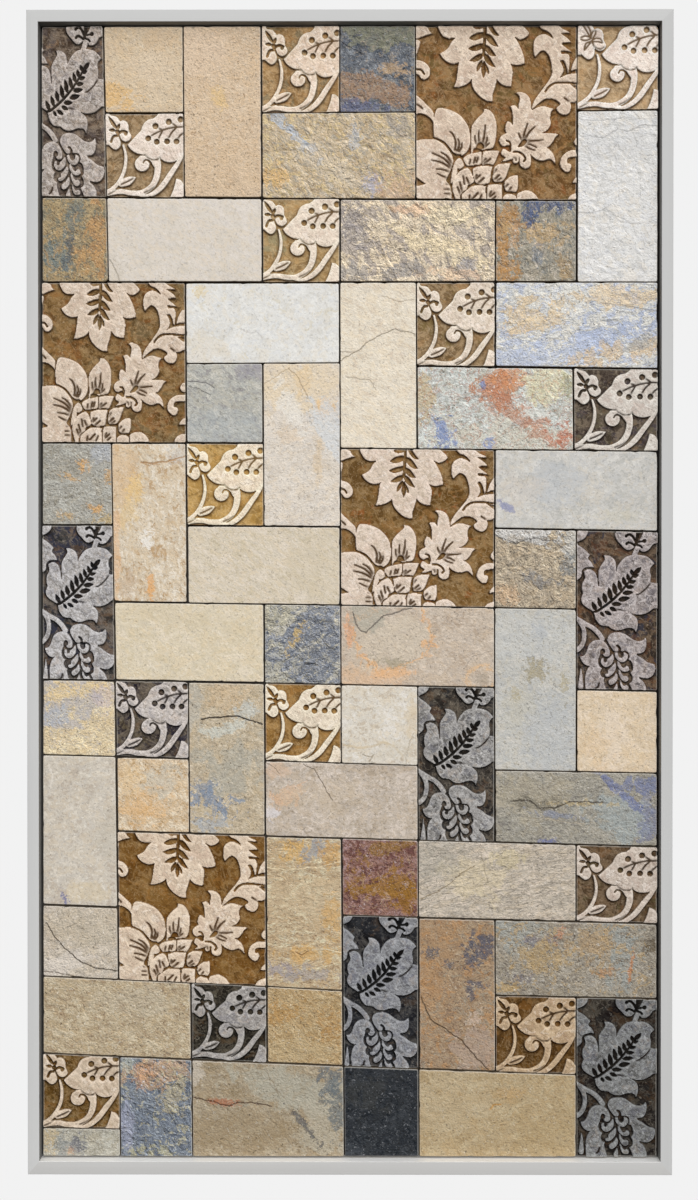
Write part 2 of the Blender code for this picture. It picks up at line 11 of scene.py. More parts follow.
import bpy
import numpy as np
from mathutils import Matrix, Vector


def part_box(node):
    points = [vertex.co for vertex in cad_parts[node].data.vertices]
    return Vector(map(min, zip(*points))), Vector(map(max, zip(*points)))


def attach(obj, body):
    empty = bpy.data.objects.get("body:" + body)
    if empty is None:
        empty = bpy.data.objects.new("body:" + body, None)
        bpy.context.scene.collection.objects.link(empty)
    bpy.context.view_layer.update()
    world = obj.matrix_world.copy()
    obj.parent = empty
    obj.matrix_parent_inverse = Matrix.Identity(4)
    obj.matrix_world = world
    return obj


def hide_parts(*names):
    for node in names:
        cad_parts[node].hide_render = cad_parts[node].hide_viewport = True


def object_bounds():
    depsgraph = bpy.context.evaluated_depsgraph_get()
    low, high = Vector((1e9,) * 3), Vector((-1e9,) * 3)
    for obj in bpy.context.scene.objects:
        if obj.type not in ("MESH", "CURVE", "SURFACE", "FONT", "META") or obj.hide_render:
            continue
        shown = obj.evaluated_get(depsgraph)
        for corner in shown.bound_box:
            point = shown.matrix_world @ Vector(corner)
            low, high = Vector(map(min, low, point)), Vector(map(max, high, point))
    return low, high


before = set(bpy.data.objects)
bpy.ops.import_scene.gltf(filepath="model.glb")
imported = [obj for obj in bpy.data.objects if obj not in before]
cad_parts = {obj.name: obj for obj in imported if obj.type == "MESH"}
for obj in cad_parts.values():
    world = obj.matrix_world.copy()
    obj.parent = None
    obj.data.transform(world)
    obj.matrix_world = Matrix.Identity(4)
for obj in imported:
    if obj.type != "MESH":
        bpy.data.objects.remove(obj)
cad_low, cad_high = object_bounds()

MM = 0.001

# ---------------------------------------------------------------- sizes of the fine surfaces (mm)
ARRIS = 1.6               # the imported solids' broken edge, which their front faces stop short of
PAIR_GAP = 0.7            # how far two stones cut from one bed stay clear of the middle of their joint
FRONT_CLEAR = 5.0         # a face that looks forward this far in front of the bed is a stone's front
CARVED_STEP = {"S": 1.06, "T": 1.14, "L": 1.22}   # spacing of the surface on a carved stone
PLAIN_STEP = 3.0
EDGE_LINES = (0.0, 0.35, 0.9, 1.7)                # closer spacing over the rounded arris
CORNER_ROUND = 2.4
PLAIN_ARRIS = 1.15        # how rounded the edges are
CARVED_ARRIS = 0.8
WAVER = 0.12              # how far the line of the carving wavers
SLIDE = 0.42              # how far a point may slide to the wall's top or foot, in steps of the surface
WORN = 0.15               # how far the raised carving is worn below the stone's face
WALL = 0.4                # half the width, seen from the front, of the wall round the carving
RIM_ROLL = 0.42           # how far a leaf's rim rolls down
DOME = 0.18               # how far a leaf swells towards its middle
GROOVE = 0.75             # depth of a cut vein
GROUND_RISE = 0.22        # how far the ground rises at the foot of the wall
REACH = 7.0               # distances to an outline are worked out this far from it
CURVE_STEPS = 4           # straight runs in a curve between two knots
SHARP = math.radians(38.0)                        # faces that meet more steeply than this keep a hard edge
LIGHT_FROM = np.array((0.35, 0.94))               # painted shade lies on the side away from this, painted highlights on rims facing it


# ---------------------------------------------------------------- drawing
def knots(text):
    """Points written as "across,down" in hundredths of a stone; a "!" marks a sharp tip or notch."""
    points, sharp = [], []
    for word in text.split():
        sharp.append(word.endswith("!"))
        points.append([float(number) for number in word.rstrip("!").split(",")])
    return np.array(points), sharp


def spline_run(before, start, end, after):
    """Points of the Catmull-Rom curve from start up to end."""
    t = (np.arange(CURVE_STEPS) / CURVE_STEPS)[:, None]
    return 0.5 * (
        2.0 * start
        + (end - before) * t
        + (2.0 * before - 5.0 * start + 4.0 * end - after) * t * t
        + (3.0 * start - before - 3.0 * end + after) * t * t * t
    )


def outline(text):
    """A closed outline, smooth through its knots and broken at the sharp ones."""
    points, sharp = knots(text)
    count = len(points)
    runs = []
    for i in range(count):
        j = (i + 1) % count
        before = points[i] if sharp[i] else points[i - 1]
        after = points[j] if sharp[j] else points[(i + 2) % count]
        runs.append(spline_run(before, points[i], points[j], after))
    return np.concatenate(runs)


def smooth_line(text):
    """An open line, smooth through its knots."""
    points = knots(text)[0]
    runs = []
    for i in range(len(points) - 1):
        before = points[max(i - 1, 0)]
        after = points[min(i + 2, len(points) - 1)]
        runs.append(spline_run(before, points[i], points[i + 1], after))
    return np.concatenate(runs + [points[-1:]])


def areas(text):
    """Closed outlines, divided by semicolons."""
    return [("area", outline(part), None) for part in text.split(";")]


def strokes(text):
    """Smooth lines written as knots, a slash and their widths (mm) from end to end, divided by semicolons."""
    found = []
    for part in text.split(";"):
        line, widths = part.split("/")
        line, widths = smooth_line(line), [float(width) for width in widths.split()]
        places = np.linspace(0.0, len(widths) - 1.0, len(line))
        found.append(("line", line, np.interp(places, np.arange(len(widths)), widths)))
    return found


def leaflets(text, tallness):
    """Pointed ovals written as "base tip width", divided by semicolons."""
    found = []
    for part in text.split(";"):
        base, tip, width = part.split()
        start, end = knots(base + " " + tip)[0]
        ahead = np.array((end[0] - start[0], (end[1] - start[1]) * tallness))
        side = np.array((-ahead[1], ahead[0] / tallness)) / np.hypot(*ahead)
        t = np.linspace(0.0, 1.0, 9)[:, None]
        half = float(width) / 2.0 * np.sin(math.pi * t ** 0.85) ** 0.8
        middle = start + (end - start) * t
        found.append(("area", np.concatenate([middle + side * half, (middle - side * half)[-2:0:-1]]), None))
    return found


def round_hole(centre, radius):
    """A round hole or boss; the radius is in millimetres."""
    middle = np.array([[float(number) for number in centre.split(",")]] * 2)
    return ("line", middle, np.array((radius, radius)) * 2.0)


# ---------------------------------------------------------------- the three carved designs
def berry_design(code):
    """Small stone: a berried leaf, a flower cut by the left edge and three stems."""
    raised = areas("""
        -2,2 6,2 12,3 15.5,6 17.5,9! 21,7.5 26,9.5 28.3,14 28.5,20 31,24.5 31.5,28 28.5,31.5 24,33 19.5,31
         17.3,28.5! 17.6,35.5 15.5,40 10.5,42.5 5.5,40 2,37 -2,34.5;
        14,84 18,78 24,75 31,73.8 37,74.8! 34,79 29,83.5 23,85.5 17,86.5;
        26.5,36.5! 31,32.5 37,26.5 43,21 44.8,19! 46.5,14.5 50,9.5 56,6.2 61,5.3 63,3.8! 65,2.5 68,-1!
         101,-1! 101,46! 98.5,48.5 94,53 88,56.3 81,57.2 75,56 70.3,53.3 68.8,51.5! 66,53.2 60,54.2 55,53
         51,50.3 48.5,48.5! 44,47.8 38,46.5 32,43 28.5,39.5""")
    if code != "S07":
        raised += areas("90,76! 95,77.5 99,81.5 101,90 101,101! 80,101! 85,92 88,84")
    raised += strokes("""
        21,37 23,44 24,52 23,62 19.5,72 13,82 6,88.5 0,92/2.4 4 4.5 5 6;
        -2,95 10,92.5 20,92 30,93.6 42,93.6 50.5,90.4 57.5,85.5 62.5,78.5 65.3,70 66,60
         64,51/6 6.5 7 7.2 7.6 8.4 9;
        44,52 52,52.5 59,55 64,60/6 8;
        38,95.5 51,96.8 62.5,92.4 72.8,83.8 82.6,71 93,57.5 99,48.3 101,45/3 4.2 6.4 7.2 7 5.6 3.4 3""")
    raised.append(round_hole("45.3,59.3", 9.5))
    cut = strokes("58.5,64 57,58.5 53,55 49,54.8 46.8,58/3.2 2.4 1.8")
    if code != "S02":
        cut += leaflets("13,18 2,3 5; 11,19.5 2,19 4; 13,19 17,11.5 4.5", 1.0)
        cut += strokes("""
            12.5,26 8,27 5,33/3.4; 14,24 20,20.5 25.5,22/3 4; 24.5,23.5 24.5,23.8/4.4;
            15,25 17.5,30.5 19,34/2""")
        cut += [round_hole("13.5,21", 3.0)]
    cut += [round_hole(place, 4.0) for place in ("81,9.5", "63.5,14.5", "96.5,6.5")]
    cut += [round_hole(place, 3.8) for place in ("54,29", "65,33", "78.5,32.5", "91,32.5")]
    veins = strokes("""
        17.5,83.5 26,80 33,76.5/1.2; 0,95.5 8,91.5 15,86.5/1; 48,93 56,90 61,86.5/1.2;
        49,48.5 55,53 61,54.5 66,53.8 69,51.5/1; 101,15.5 92,15.8 82,17 73,19.5 66,22 58,26/1.3;
        92,15.8 87.5,12.5 84.5,11/1.3; 73,19.5 68,17.5/1.3; 73,19.5 70.5,24 68,28.5/1.3;
        90,17.5 85,22 81,28/1.3; 101,22 96,25.5 93,29/1.3""")
    if code == "S02":
        veins += strokes("""
            2,3 8,11 13,19 12,10 8,4/1.2; 13,19 14.5,13 18,10 19,13 15,20/1.2;
            1,18 7,16.5 13,19 6,21.5 1,20/1.2; 14,22 19,19 25,20 27,24 22,23 15,23/1.2;
            12.5,23 7,25 5,32 9,28 12.5,24/1.2; 15,24 18,29 25,31 29,29/1.2""")
    return raised, cut, veins


def fern_design(_code):
    """Tall stone: a lobed leaf with a fern cut into it, above a flower in section."""
    raised = areas("""
        -1,-1! 16.5,-1! 15,2.5 11,5 5,6.6 -1,7.2;
        -1,9.3 5,9.5 10,11 14,12.7 18.5,15! 16.2,17 17.5,18.5 20,19.5 23.4,22.8! 16.2,22.8 10.8,23.6
         8,25.5! 7.6,28.7 3.2,30.8 -1,31;
        50.5,-1! 50,3 52.5,6 57,8.3 61,10.5 65,11.6 69,11.3 73,9.8 76,7.8! 77.5,4 77,-1!;
        86,-1! 82,3.5 78.5,6 77.5,8.5! 80,10.5 82,12.2 87,12.3 92,10.8 96,8 101,6 101,-1!;
        50.5,27! 52,23 55,20 60,17 66,15.2 74,14.6 82,14.6 89,15.5 94,17.3 98.5,19.8! 96,20.8 93.5,22.5
         93,25 94,27.5 93.5,30.5 94,31.5 101,32! 101,47.8! 97,48 93,49.5 88,51 82,51.8 76,51.9 70,51.2
         65,50.2 61,49.7! 67,50.7 72,52.2 76.5,54.3 78,57 77.5,60 75.5,63.3! 74,61.5 70,60.5 64,60.6 57,61.7
         51,62 45,61 41.5,59.6! 37.9,59.4 31.4,58.8 26,55.6 24.3,52.2! 21.6,50.2 14,48 9.2,45.6 7.8,42.5
         10.3,39.3! 8.7,36.6 9.2,32.9 12.4,29.7 11.9,27.6 10.8,25.5! 16.2,24.1 21.6,24.7 25.4,26.5 27.6,30.3
         28.7,34.5! 29.8,34 29,26 30.8,22.8 33.5,20.7 37,18 36.3,16 35.2,15.1! 42,15.4 47.6,17 50.3,19.6
         50.9,23.4;
        40.3,68.3 41.3,66 44.5,64.2 50,63.4 56,63.3 62,64.2 67.5,66 73,67.8 79,68.5 84.5,67.8 87.5,66!
         88.7,68.5 88.3,71.8 86,74.7 82,76.1 76.8,76.3! 77,77.5! 83,79 90,81.6 98.5,82.8! 99.6,85.6 97,89.4
         91.5,91.5 85.5,91.8 79.5,90.9! 80,92! 84.5,93.7 88,97 89,100.5! 71.5,100.5! 69.8,97.6 67,95.3!
         70.8,93.8 71.4,91 69,88.5! 71.8,86.6 71.6,83.6 69.6,81 66.5,80.3! 67.6,78.3 66.4,76 63,75 57.2,75!
         57,73.4 55,71.6 52,71 50.6,71.8 52,72.5! 53.6,73.2 54,74.6! 52,75.3 48.5,75 45,73 42,70.6;
        6.3,78.9! 11,78.3 14.3,75.8 16.8,72.3 20,70 25,68.6 30,68.3 35,69 39,70.7 42,73.3 43.4,76 42.6,78
         39.5,78.8 36,78.3 34.8,77! 37,76.6 37.3,75 35.5,73.8 33,73.9 31.2,75.3 31.2,77! 30.3,78.6 28.8,80.6
         29,83 31,85.2 33.8,86! 31.8,87.6 31.6,89.6 33.3,91.3 36.4,91.8! 35.8,94 37.2,97 39.5,100.5!
         13.2,100.5! 12.8,97 12.6,92.5 14,88.5 16.5,86 19.5,84.4! 15.5,84.6 11,83.4 8,81.5;
        7.5,85! 9.5,92 10,98.8 4,98.8 5.5,92;
        49,76.2! 50.5,79 54,81.2 58,82 62,81.5 65,79.5 65.6,77.5 63.5,76.2 60.2,75.8! 60.3,78.2 57,79.4
         54,78.3 52.8,75.9!;
        52.6,81.6! 52.8,84 55,86 59,87.6 64,87.9 67.6,86.8! 66.5,84.8 63.8,84.1! 61,85.5 58,84.9 55.8,82.8
         54.2,81.4!;
        54.4,86.8! 54.4,89 56.3,91.7 59.3,93.7 63,94.2 66,93.2 66.3,91.5 63.5,90.2! 61,90.8 58.5,89.5
         56.6,87.8 55.6,86.5!;
        55.6,93! 56.2,96 58.3,98.4 61,99.3 65.5,99.2 66.5,97.6 64,96.1! 61,96.8 58.6,95.5 57,93.6!;
        46.6,76.6! 48,79 47.4,81.6 44,84 39.5,85.2 35,84.6 32.3,82.6 32.4,80.5 34.2,79.5 36,79.8! 35.6,81.4
         37.2,82.3 39.4,81.7 39.8,80.4 42,79.6 44.8,78.2;
        50,82.3! 51,84.6 50,87.2 46.5,89.6 42,91.2 38.5,91.2 37,90 38.8,89.2! 41,89 41,87.3 43.5,85.8
         46.5,84.3;
        51.2,88.6! 52.9,90.6 52.5,93 49.5,95 45.5,96.2 42.5,95.8 41.8,94 44,92.6 47.5,91.6 49.5,90;
        52,95.3! 53.2,98 53.2,100.5! 46.5,100.5! 49,97.8""")
    raised += strokes("""
        77.5,10 73.6,14.7/6.5; -1,54 6,56.2 14,58.7 22,60.8 29,64 34,67.6/5 6 6.5;
        5,56.5 10,60.5 11.8,65.5 9.5,71 4,74.5 -1,75.5/5.5 6""")
    cut = strokes("""
        23,50.9 27,50.4 32.5,48.6 38.5,46.4 45,43.8 51,40.9 57.5,37.6 63,34 68,30.8 73,26.8
         78,24.2/3 3.4 3.4 3 2.6 2.2;
        78.6,-1 77.4,3.5 75.2,8/6.5 4.5 3.5; 75,6.2 72,3.4 68,1.9 64,2.5/3 3.2; 63.6,2.7 63.4,2.9/4;
        74,8.8 70,7.4 66,6.9 64,7.6/2.8 3; 64,7.6 63.8,7.8/3.6; 77,6.4 82,6.1 85,5.7/2.4; 86,5.6 86,5.8/5;
        77,8.3 81,8.9 83,10/2.6""")
    cut += leaflets("""
        26.5,50.2 20.9,44.4 5.6; 32.4,48.1 28.2,41.4 5.3; 38.5,45.4 35.1,38.6 6; 44.8,43.3 41.6,35.1 6;
        50.7,40 47.4,32 6; 57.1,37.6 53.7,30.3 5.6; 62.1,33.8 59.1,28.1 5.3; 67.1,31.1 64.5,26.2 5.2;
        71.9,27.5 69.2,23.6 4.7; 73,26.7 82.2,22.1 6; 31.3,50.6 36.2,53.8 4.2; 36.4,50.2 45.6,52.6 4.9;
        42.5,47.8 52.2,49.9 5.2; 45.2,45.7 58.2,45.7 5.6; 53.3,43 68.5,41.5 6.5; 58.3,38.8 72.7,38 5.8;
        63.2,35 73.6,34.5 5.2; 67.2,32 75.9,30.8 4.7; 71.2,28.3 78.9,27.1 4.7""", 2.0)
    veins = strokes("""
        94,31.5 88,35.5 80,38.8 76,39.5/1; 61,49.7 54,49 48,49.5/1; 26,98.6 28.5,97.6 30,95.3/1.6""")
    return raised, cut, veins


def damask_design(_code):
    """Large stone: a hanging leaf, an acanthus spray, a flower head and a bloom with a scaly heart."""
    hanging_leaf = """
        14,-1! 13.7,1.5 14.9,4.1 16.8,6.7 20.2,8 24.7,7.7! 21.9,10.3 19.6,13.9 14.9,16.8! 16.3,19.1
         19.1,21.4 22.4,22.5 25.8,22 27.5,20.9! 26.4,22.7 25.8,26.9 25,32 23.6,35.9! 26.9,35.6 30.9,34.3
         33.4,32.5 34.3,31.2! 34.8,35.1 37,38.7 40.4,41.8 43.8,43.6 47.1,43.9! 47.1,40.8 48.3,37.2 49.4,33.6
         49.9,31.2! 52.3,33.8 55.7,35.2 58.7,35.4! 59.3,31 59.7,26.9 59,23.8 56.8,20.9! 59,22.7 61.8,23.3
         64.6,23 67,22.3! 66.6,18.6 64.9,13.9 62.4,9.3 59.9,6.5! 62.4,8 64.6,8.7 67.4,7.7 69.7,5.7 69.1,3.9
         65.8,1 64,-1!"""
    acanthus = """
        74.5,-1! 77.5,2.6 80.9,3.9 83.7,6.2 84.7,8.5! 82,6.7 78.7,5.7 75.3,6.7 73.1,9.3 72.5,12.9 72.8,16.5
         73.6,18.6! 75.3,16.8 77.5,15.2 79.8,15.5 82,17.8 83.4,21.7 84,25.8 83.7,28.9 82,32 78.7,36.2
         75.3,40.3 72.5,44.4 71.4,48.6! 73.6,46.7 76.4,44.4 79.8,42.4 83.2,42.1 86.5,43.1 89,44.9 88.8,46!
         86.8,47.5 87.6,49.6 89.9,51.1 92.7,51.4 94.9,49.6 95.8,46.5 94.9,44.2! 97.5,44.2 99.7,43.1 101,41
         101,27.9! 95.5,28.2 91.6,29.2 87.9,31! 89.9,28.9 91,26.3 90.5,23.8 89.3,21.7 88.8,20.7! 91,20.6
         92.5,23 93.8,27.9! 94.4,25.8 94.9,20.7 94.4,17.6 92.7,16.8 89.9,17! 89.6,15 96.1,15.8! 93.3,13.9
         89.9,11.4 90.7,10.6 95.5,10.4! 93.8,8.3 89.9,5.7 88.8,4.9 94.9,5.2! 94.4,4.4 89.9,2.3 86,-1!"""
    flower = """
        61.6,39! 64.1,38.5 67.4,39.3 69.7,41.3 70.8,44.4 71.4,49.1! 75.3,47.1 78.7,46.5 82,47.3 85.3,48.1!
         84.3,48.6 83.2,50.2 82.7,53.3 83.2,56.4 81.5,59.5 78.7,61.3 75.8,62.1! 78.7,61.8 82,61.8 85.4,62
         88.2,62.3! 86,64.1 84.8,66.2 82,69.3 79.8,69.7! 82,70.8 84.3,72.9 85.7,76 86.2,79.3! 83.7,76.8
         81.5,76.5 78.7,77.4 75.3,77 72.5,75.5 70.5,73.7! 71.1,77 70.3,80.6 67.4,81.8 64.4,80.1 64.1,76!
         63.2,75.5 63,78.1 61.3,79.1 59.9,78.1 60.2,76 59.6,76.3 56.2,77.5 52.6,78.1! 55.1,76 54.5,75.2!
         52.7,73.9 52.9,71.9 54.3,70.6 57.3,72.4 58,72 58.5,69.5 56.5,68.5 54.8,69.4 52.9,68.8 51.6,66.7
         52,64.4 54,62.6 55.9,62! 55.1,60 55.4,57.4 56.5,55.1! 58.2,55.6 59.9,57.4! 59.7,51.7 59.3,49.1
         58.2,46.5! 61.3,46.2 63.5,48.6! 63.2,46.5 63.8,44.4 64.1,41.8 63,39.8"""
    edge_pieces = """
        -1,-1! 6.7,1.5 8.4,3.9 10.1,5.2! 5.6,6.5 -1,8; -1,9! 2.5,9.5 2,13 0.5,17 -1,17!;
        -1,20.9 3.4,20.9 6.2,22.2 8.4,24.8 8.9,27.4 7.9,30 5.6,31.4 3.4,31 1.7,28.9 -1,28!;
        -1,40.3 3.4,42.9 6.2,45.5 9,48 10.7,50.4 10.7,56.1! 9.3,54 6.2,51.7 2.8,50.7 -1,50.4;
        95.5,26.9! 96.3,23.8 97.7,20.7 101,17 101,24.8 97.7,25.8; 101,62.8 98,65.7 98.3,68.2 101,70!;
        101,84.5! 97.8,87.9 96.9,89.9! 101,89.7!; 93,101! 93.8,99.2 96,96.7 101,95.6 101,101!;
        62.4,101! 62.4,96.7 64.6,95.1 68.6,94.3 72,95.4 74.2,97.2 76.6,101!"""
    petals = """
        11.2,64.1! 10.8,59.5 10.9,54.3 12.1,49.6 13.7,47.8 16.8,47.8 21.3,48.9 25.8,50.9 29.7,54.3
         32.5,58.9 33.4,64.1 33.1,68.8 31.4,72.4 28.1,74.9! 27.5,73.9 25.3,73.9! 23,72.9 20.8,70.3 18,67.2
         14.6,65.4;
        41.8,48.1! 44.9,48.6 47.7,51.2 49.4,55.3 49.7,60.5 48.8,67.2 47.1,70.3 43.8,70.9 41,71.6! 38.2,70.3
         35.6,70.8 34.8,73.2! 33.8,72.9 34.3,69.3 34.2,59.5 35.9,55.8 38.7,52.7 41.8,49.9;
        -1,66.6! 3.9,65.6 10.1,65.4 14.2,66.6 17.6,68.8 20.2,71.8 22.2,74.6 22.8,78.1 21.9,81.2 20.3,85
         18.5,88.9 20.6,91.5 21.5,94.6 21.9,101! -1,101! -1,92.5! 6,91! -1,86.5!;
        26.4,76! 24.1,78.1 22.6,82.2 21.8,86.3 21.2,91! 23.6,88.4 24.7,85.8 25.5,84.3 25.5,82.2! 27.5,82.2
         29.7,80.6! 29.2,79.1 28.1,77"""
    scales = """
        29.2,77 30.6,75 33.7,73.7 40.4,72.4! 40.1,79.1 35.9,80.1 31.4,80.6!;
        41.3,72.4! 46.6,71.8 51.5,71.9! 49.4,77 47.7,79.9! 43.8,79.3 40.9,80.1!;
        22.6,94.6 22.4,91.5 23.6,87.9 26.9,83.7 31.4,81.5! 33.5,83.2 35.6,88.9 33.7,90.9 32,91.5 31.1,94
         29,95.1 27.3,97.2 26.7,101! 24.7,101!;
        34.9,82.2! 38.2,80.9 42.6,80.6 47.2,80.8! 46.2,84.3 45.6,88.9 44.3,90.5 39.3,90.8 36.7,89.9
         35.4,86.3;
        48.4,81.2! 51.7,79.4 58.5,78.9! 57.1,82.2 55.6,86.3 53.4,89 50.6,89.5 48.1,89.2 47.5,86.3;
        28.3,96.7! 31.4,94.2 34.8,92 39.3,91.6 43.5,92.2! 42.7,93.6 43,96.7 43,101! 27.7,101!;
        44.9,91.2! 48.8,90.9 53,91.2! 52.9,94.6 52.7,101! 44,101! 44,93;
        54.7,89.4! 58.5,86.4 62.8,85.6! 63,89.4 62.7,93 61.6,95.2! 58.5,94.9 55.7,94.6 54.5,92;
        53.6,98.2! 56.2,96.3 60.7,96.9 62,98.7 62,101! 53.5,101!"""
    raised = areas(hanging_leaf) + areas(acanthus) + areas(flower)
    raised += areas(edge_pieces) + areas(petals) + areas(scales)
    raised += strokes("101,73.2 96,73.4 92.3,76 91.3,79.5 93.3,81.8/8 10 9; 94.5,80.3 94.5,80.5/6.4")
    cut = strokes("""
        42.6,-1 42.6,6 41.8,17.6/4.2 3.6; 79.9,38.2 82,35.6 85.4,33.6 89.9,33.1 94.4,33.3 101,34.1/2.8;
        -1,26 3,26 5,28.3/2.6; 56,66.3 57.8,67 58.5,69.5 58,72/2.6;
        94,78.3 94.2,76.4 96.5,75.8 101,75.7/2.6; 60.4,72.6 63.5,72.7 66.3,74.3 67.5,76.5 66.5,77.8/2.8""")
    cut += areas("""
        95.5,34.4! 101,35! 101,38.5!; 36.6,71! 38.4,67.2 41.5,67.8 42.3,70.6!;
        62.4,70! 66.2,65.2 68.8,66.2 66.4,69""")
    cut += areas("""
        42.2,-1! 38.6,-1 35,1.6! 37.4,2.9 40.6,2.6 42.2,1.6;
        42,4.6! 38,4.9 35,6.2 32.6,8! 35.2,9.2 38.6,8.8 41.6,7.2;
        41.6,10.8! 37.6,11.6 34.6,12.6 32,14! 35.2,15.4 38.4,15 41,13.6;
        41.2,16.6! 38,17.3 35.2,19 32.8,21! 35.8,21.3 38.6,20.9 41,19.2;
        44.6,-1! 47,0.8 49.4,4.2 51.8,6.8! 48.6,6.4 46.4,4.4 44.4,1;
        43.4,5.4! 46.4,6.4 49,9.6 51.2,13! 48,12.4 45.2,10.6 43.2,7.6;
        42.6,11.7! 45.4,12.8 47.8,15.6 49.6,18.3! 46.6,18.1 44.2,16.6 42.4,14;
        42,16.7! 44.6,17.7 47,21 49.2,24.6! 46.2,23.8 43.8,22 42,19.2;
        41,20! 38.8,22 37.4,24.6 37.2,27.4! 38.6,26.4 40,24.6 41.2,21.6;
        41.6,21! 40.6,24 40.4,27 41.6,31! 43,28 43.2,25.4 42.4,22;
        42,20.4! 43.2,22.6 44.8,25.4 45.2,28.6! 43.8,27.4 42.8,24.6 42,22""")
    veins = strokes("""
        24,71.5 24.4,67 22.9,63 20.9,61.2/2.4 2 1.6 1; 25.4,72 26.7,68.4 25.9,65.4/2.2 1.8 1;
        26.4,72.4 28.1,70 28.4,67.7/2.2 1.8 1; 38,69.5 36.5,66 36.4,63.4/2.2 1.8 1;
        39.2,69 38.7,64 38.9,60.4/2.4 1.8 1; 40.4,69.5 42,64 42.7,57.4/2.4 1.9 1;
        41.4,70 43.4,67 43.9,64.2/2 1.6 1; 41.9,70.2 43.9,68.7 45.2,67.7/2 1.6 1;
        21.9,79 18.9,75 15.4,73/2.2 1.8 1; 21.9,81 16.9,76.4 9.9,73.4/2.4 1.9 1;
        21.9,82.3 15.9,78.9 9.4,77.4/2.4 1.9 1; 21.4,84.4 16.9,82.9 12.4,82.4/2.2 1.7 1;
        20.5,88 16.5,86.6 13,85/2 1.6 1; 22.2,94 17.4,93.9/2 1; 22.2,96.6 17.4,96.5/2 1;
        22,91.3 18.5,91/1.8 1; 65.9,66.9 66.9,61.9 68.9,56.4/2.6 2 1;
        66.9,65.9 69.9,61.4 73.4,58.2/2.4 1.9 1; 67.4,66.4 72.9,66.2 78.4,65.7/2.4 1.9 1;
        66.9,67.4 70.9,68.4 74.4,70/2.2 1.7 1; 65.9,67.9 69.5,70.4 73.4,71.6/2 1.6 1;
        65.4,65.9 63.9,63.4 63.4,61.9/2.2 1.7 1; -1,45.3 2,46.5 4,48.2/1.6; 91.6,42 94.5,43.9/1.6;
        60.4,75.9 61.6,76.2 61.8,77.3/1.6; 36.5,76 35.6,79/1.8; 38.2,76 37.3,78.5/1.8; 43,76.5 41,78.3/1.8;
        46,76.5 42,79.3/1.8; 33.5,77 33,79.5/1.6; 26.9,89.9 28.6,95.9/1.8; 25.5,92.8 27.5,97.2/1.8;
        31.1,87.4 33.1,91.5/1.8; 29,86.5 29.8,91/1.6; 37.3,85.8 36.5,87.9/1.8; 39.5,85.8 37,88/1.8;
        41.8,87.4 38.2,90.5/2; 49.5,82.5 48.1,84.3/1.8; 51.2,85.8 48.4,88.1/2; 52.3,87.6 50,89.2/1.8;
        33.1,97.2 32.8,99.8/1.8; 38.2,95.9 34.8,99.2/2; 46.3,95.1 45.2,97.2/1.8; 48.3,95.9 45.7,98/1.8;
        49.1,97.9 47.1,99.5/1.8; 56.8,91 55.1,92.5/1.8; 58.7,92.8 57.3,94.6/1.8; 40.5,97 39,100/1.6""")
    return raised, cut, veins


DESIGNS = {"S": berry_design, "T": fern_design, "L": damask_design}
RUN_OFF = 6.0    # how much further a design runs past the stone's edge, in hundredths

# Where each stone's design sits: moved right and down in hundredths of the stone, then its width and
# height against the usual. The stones along the left rail were cut narrower after carving.
# These values weren't chosen by hand: nearly all of them are what a separate fitting program printed.
DESIGN_SITS = {
    "L01": (0.4, -0.2, 1.008, 1.015), "L02": (-1.5, -0.9, 0.999, 0.999), "L03": (-0.6, 0.4, 1.012, 1.015),
    "L04": (-1.4, -0.8, 1.015, 1.011), "S01": (1.1, 2.3, 0.985, 1.011), "S02": (4.0, -1.7, 1.018, 1.065),
    "S03": (0.8, 1.0, 0.981, 1.015), "S04": (0.0, 0.3, 1.008, 1.011), "S05": (1.5, 3.1, 1.018, 1.023),
    "S06": (0.4, 1.8, 0.993, 1.035), "S07": (-0.4, 2.1, 1.004, 1.007), "S08": (-0.4, 0.4, 1.004, 1.022),
    "S09": (0.0, 1.5, 1.007, 1.022), "S10": (0.4, 3.1, 0.993, 1.027), "S11": (0.4, 1.1, 0.996, 0.981),
    "S12": (-0.4, 3.0, 0.981, 1.037), "S13": (0.0, -0.8, 0.974, 1.062), "T01": (-9.9, -0.7, 1.168, 1.008),
    "T02": (-1.2, 0.4, 1.042, 1.022), "T03": (-2.2, 0.4, 0.998, 1.007), "T04": (-0.4, 0.0, 1.016, 1.027),
    "T05": (-1.9, 0.0, 1.023, 1.023), "T06": (-1.4, -0.7, 0.997, 0.993),
}


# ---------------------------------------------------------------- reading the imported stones
def quad_of(points):
    """The four outermost points: top left, top right, bottom right, bottom left."""
    x, z = points[:, 0], points[:, 1]
    return np.array([points[np.argmax(key)] for key in (z - x, z + x, x - z, -x - z)])


def grown(quad, by):
    """A four-sided outline with every side moved out."""
    sides = []
    for i in range(4):
        run = quad[(i + 1) % 4] - quad[i]
        run /= np.hypot(*run)
        outward = np.array((-run[1], run[0])) * by
        sides.append((quad[i] + outward, run))
    corners = []
    for i in range(4):
        (start, run), (other, other_run) = sides[i - 1], sides[i]
        apart = other - start
        reach = apart[0] * other_run[1] - apart[1] * other_run[0]
        corners.append(start + run * (reach / (run[0] * other_run[1] - run[1] * other_run[0])))
    return np.array(corners)


